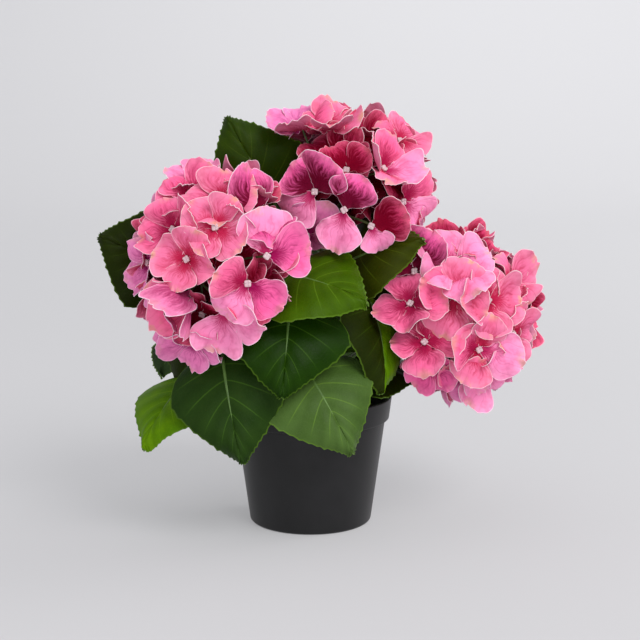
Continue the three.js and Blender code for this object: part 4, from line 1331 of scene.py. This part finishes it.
def make_limbs(tube):
    """The three boughs, and the main stem with its flared foot."""
    for name, path in BOUGH_PATHS.items():
        points = along_path(tube, path, (BOUGH["foot_radius"], BOUGH["tip_radius"]), ridged)
        copies = [plain_copy(points, tube[1])]
        moulded_piece(f"limb_{name}", copies, green_plastic, "stem", f"bough_{name}")
    flare = (STEM["foot_radius"], STEM["foot_radius"] * 0.93, STEM["radius"], STEM["radius"])
    radii = flare + (STEM["tip_radius"],) * 8
    points = along_path(tube, evenly(STEM_PATH, 41), radii, lobed)
    moulded_piece("stem_core", [plain_copy(points, tube[1])], green_plastic, "stem", "main_stem")


# ---- Pot and ballast -------------------------------------------------------------------------------


LEVEL = 1e-6  # how nearly level a ring's points are, in metres
POT_EDGE = 0.01  # no edge of a ring is as long as this, in metres
BALLAST_RINGS = [round(0.93 - 0.07 * k, 2) for k in range(11)]
LUMP_RISE = 2.0  # how far the ballast's lumps stand above its plug, about


def body_radius(z):
    """The pot's outer radius below its band."""
    return POT["base_radius"] + (POT["body_radius"] - POT["base_radius"]) * z / BAND_FOOT


def make_pot():
    """A tapered cup turned from a cylinder: the band steps out, and the rim is rolled over inside."""
    base = POT["base_radius"]
    piece = added("pot_shell", bpy.ops.mesh.primitive_cylinder_add, vertices=144, radius=base * METRES,
                  depth=BAND_FOOT * METRES, location=(0, 0, BAND_FOOT / 2 * METRES))
    pick(piece, "FACE", lambda face: face.normal.z > 0.9)
    now = base

    def to(radius, rise=0.0):
        nonlocal now
        resize_to(radius / now, radius / now)
        bpy.ops.transform.translate(value=(0, 0, rise * METRES))
        now = radius

    to(body_radius(BAND_FOOT))
    wall, band, rim, step = POT["wall"], POT["band_radius"], POT["rim_radius"], POT["band_step"]
    steps = ((band, step), (rim, POT["band_height"] - step), (rim - wall, 0.0),
             (band - wall, wall - POT["band_height"]), (body_radius(BAND_FOOT) - wall, -2 * step),
             (body_radius(wall) - wall, -(BAND_FOOT - 2 * step)))
    for radius, rise in steps:
        bpy.ops.mesh.extrude_region_move()
        to(radius, rise)

    def on_ring(edge, z):
        ends = [piece.data.vertices[i].co for i in edge.vertices]
        return all(abs(end.z - z) < LEVEL for end in ends) and math.dist(*ends) < POT_EDGE

    for height, width, segments in ((0.0, POT["edge_round"], 6), (POT["height"], POT["edge_break"], 4),
                                    (BAND_FOOT + step, 2 * step, 3)):
        pick(piece, "EDGE", lambda edge: on_ring(edge, height * METRES))
        bpy.ops.mesh.bevel(offset=width * METRES, segments=segments, profile=0.5)
    bpy.ops.object.mode_set(mode="OBJECT")
    piece.data.materials.append(pot_material())
    smooth(piece, 35)
    finish_piece(piece, "pot", "pot")


def make_ballast():
    """Set ballast: a plug in the pot with a lumpy top."""
    inset = POT["wall"] + GAP
    radius = POT["band_radius"] - inset
    height = FILL_TOP - LUMP_RISE - inset
    piece = added("ballast", bpy.ops.mesh.primitive_cylinder_add, vertices=96,
                  radius=body_radius(inset) * METRES - inset * METRES, depth=height * METRES,
                  location=(0, 0, (inset + height / 2) * METRES))
    pick(piece, "FACE", lambda face: face.normal.z > 0.9)
    share = radius / (body_radius(inset) - inset)
    resize_to(share * 0.985, share * 0.985, 1)
    before = 1.0
    for ring in BALLAST_RINGS:
        bpy.ops.mesh.inset(thickness=0, depth=0)
        resize_to(ring / before, ring / before, 1)
        before = ring
    bpy.ops.mesh.poke()
    bpy.ops.object.mode_set(mode="OBJECT")
    lumps = bpy.data.textures.new("ballast_lumps", "CLOUDS")
    lumps.noise_scale = 0.009
    top = piece.vertex_groups.new(name="top")
    limit = (FILL_TOP - LUMP_RISE - 0.5) * METRES
    inner = radius * 0.97 * METRES
    high = [v for v in piece.data.vertices if v.co.z > limit]
    top.add([v.index for v in high if math.hypot(v.co.x, v.co.y) < inner], 1.0, "REPLACE")
    apply_modifier(piece, "DISPLACE", texture=lumps, texture_coords="LOCAL", strength=0.006,
                   mid_level=0.35, direction="Z", vertex_group="top")
    piece.data.materials.append(ballast_material())
    smooth(piece, 40)
    finish_piece(piece, "fill", "fill")


# ---- Stage, lights and camera ----------------------------------------------------------------------


def aim(thing, target):
    """Turns a light towards a place."""
    thing.rotation_euler = (Vector(target) - thing.location).to_track_quat("-Z", "Y").to_euler()


def make_stage():
    """A pale floor that sweeps up behind the plant."""
    floor = added("floor_sweep", bpy.ops.mesh.primitive_plane_add, size=1)
    bpy.ops.object.mode_set(mode="EDIT")
    resize_to(9, 5)
    bpy.ops.transform.translate(value=(0, -0.6, 0))
    bpy.ops.object.mode_set(mode="OBJECT")
    pick(floor, "EDGE", lambda edge: all(floor.data.vertices[i].co.y > 1.5 for i in edge.vertices))
    centre = (0, 1.9, 1.3)
    bpy.ops.mesh.spin(steps=16, angle=math.radians(-90), center=centre, axis=(1, 0, 0))
    bpy.ops.mesh.extrude_region_move(TRANSFORM_OT_translate={"value": (0, 0, 3)})
    bpy.ops.object.mode_set(mode="OBJECT")
    n = Nodes("stage_paper")
    n.set(Base_Color=rgb(0.34, 0.34, 0.35), Roughness=0.9, Emission_Color=rgb(0.98, 0.98, 1.0),
          Emission_Strength=0.26)
    n.shader.inputs["Specular IOR Level"].default_value = 0.2
    floor.data.materials.append(n.material)
    smooth(floor, 60)


def add_light(name, location, target, size, power, colour=(1, 1, 1), spread=180):
    data = bpy.data.lights.new(name, "AREA")
    data.shape = "DISK"
    data.size = size
    data.energy = power
    data.color = colour
    data.spread = math.radians(spread)
    light = bpy.data.objects.new(name, data)
    bpy.context.scene.collection.objects.link(light)
    light.location = location
    aim(light, target)


def make_lights():
    middle = (0, 0, 0.17)
    add_light("key_light", (1.9, -2.7, 3.1), middle, 2.5, 114, (1.0, 0.985, 0.97))
    add_light("fill_light", (-0.4, -1.7, 0.22), (-0.01, 0.0, 0.21), 0.7, 0.42, (1.0, 1.0, 1.0), 44)
    add_light("side_light", (1.9, 0.8, 0.9), middle, 0.9, 15, (1.0, 0.99, 0.98))
    add_light("backdrop_light", (0.7, 0.9, 3.0), (0.8, 3.2, 0.9), 2.4, 20, (1.0, 1.0, 1.0), 90)
    world = bpy.data.worlds.new("studio")
    bpy.context.scene.world = world
    world.use_nodes = True
    background = world.node_tree.nodes["Background"]
    background.inputs[0].default_value = (0.95, 0.95, 0.98, 1)
    background.inputs[1].default_value = 0.78


# In millimetres, the pitch in degrees downwards.
CAMERA = {"place": (7.1, -1200.0, 364.6), "pitch": 10.1, "lens": 93.1, "sensor": 36.0}


def make_camera():
    """A long lens, a little above the heads."""
    data = bpy.data.cameras.new("camera")
    data.lens = CAMERA["lens"]
    data.sensor_width = CAMERA["sensor"]
    data.clip_start = 0.05
    camera = bpy.data.objects.new("camera", data)
    bpy.context.scene.collection.objects.link(camera)
    camera.location = [c * METRES for c in CAMERA["place"]]
    camera.rotation_euler = (math.radians(90 - CAMERA["pitch"]), 0, 0)
    bpy.context.scene.camera = camera


# ---- The whole plant -------------------------------------------------------------------------------

make_camera()
make_lights()
make_stage()
make_pot()
make_ballast()

fine_tube = model_tube(24, 60)
twig_tube = model_tube(6, 8)
petiole_tube = model_tube(8, 24)
make_limbs(fine_tube)

leaf_shape = model_leaf()
for spray_name in SPRAYS:
    make_spray(spray_name, leaf_shape, petiole_tube)

petal_shape = model_petal()
bead_shape = model_bead()
for head_name in HEADS:
    make_head(head_name, petal_shape, bead_shape, twig_tube)
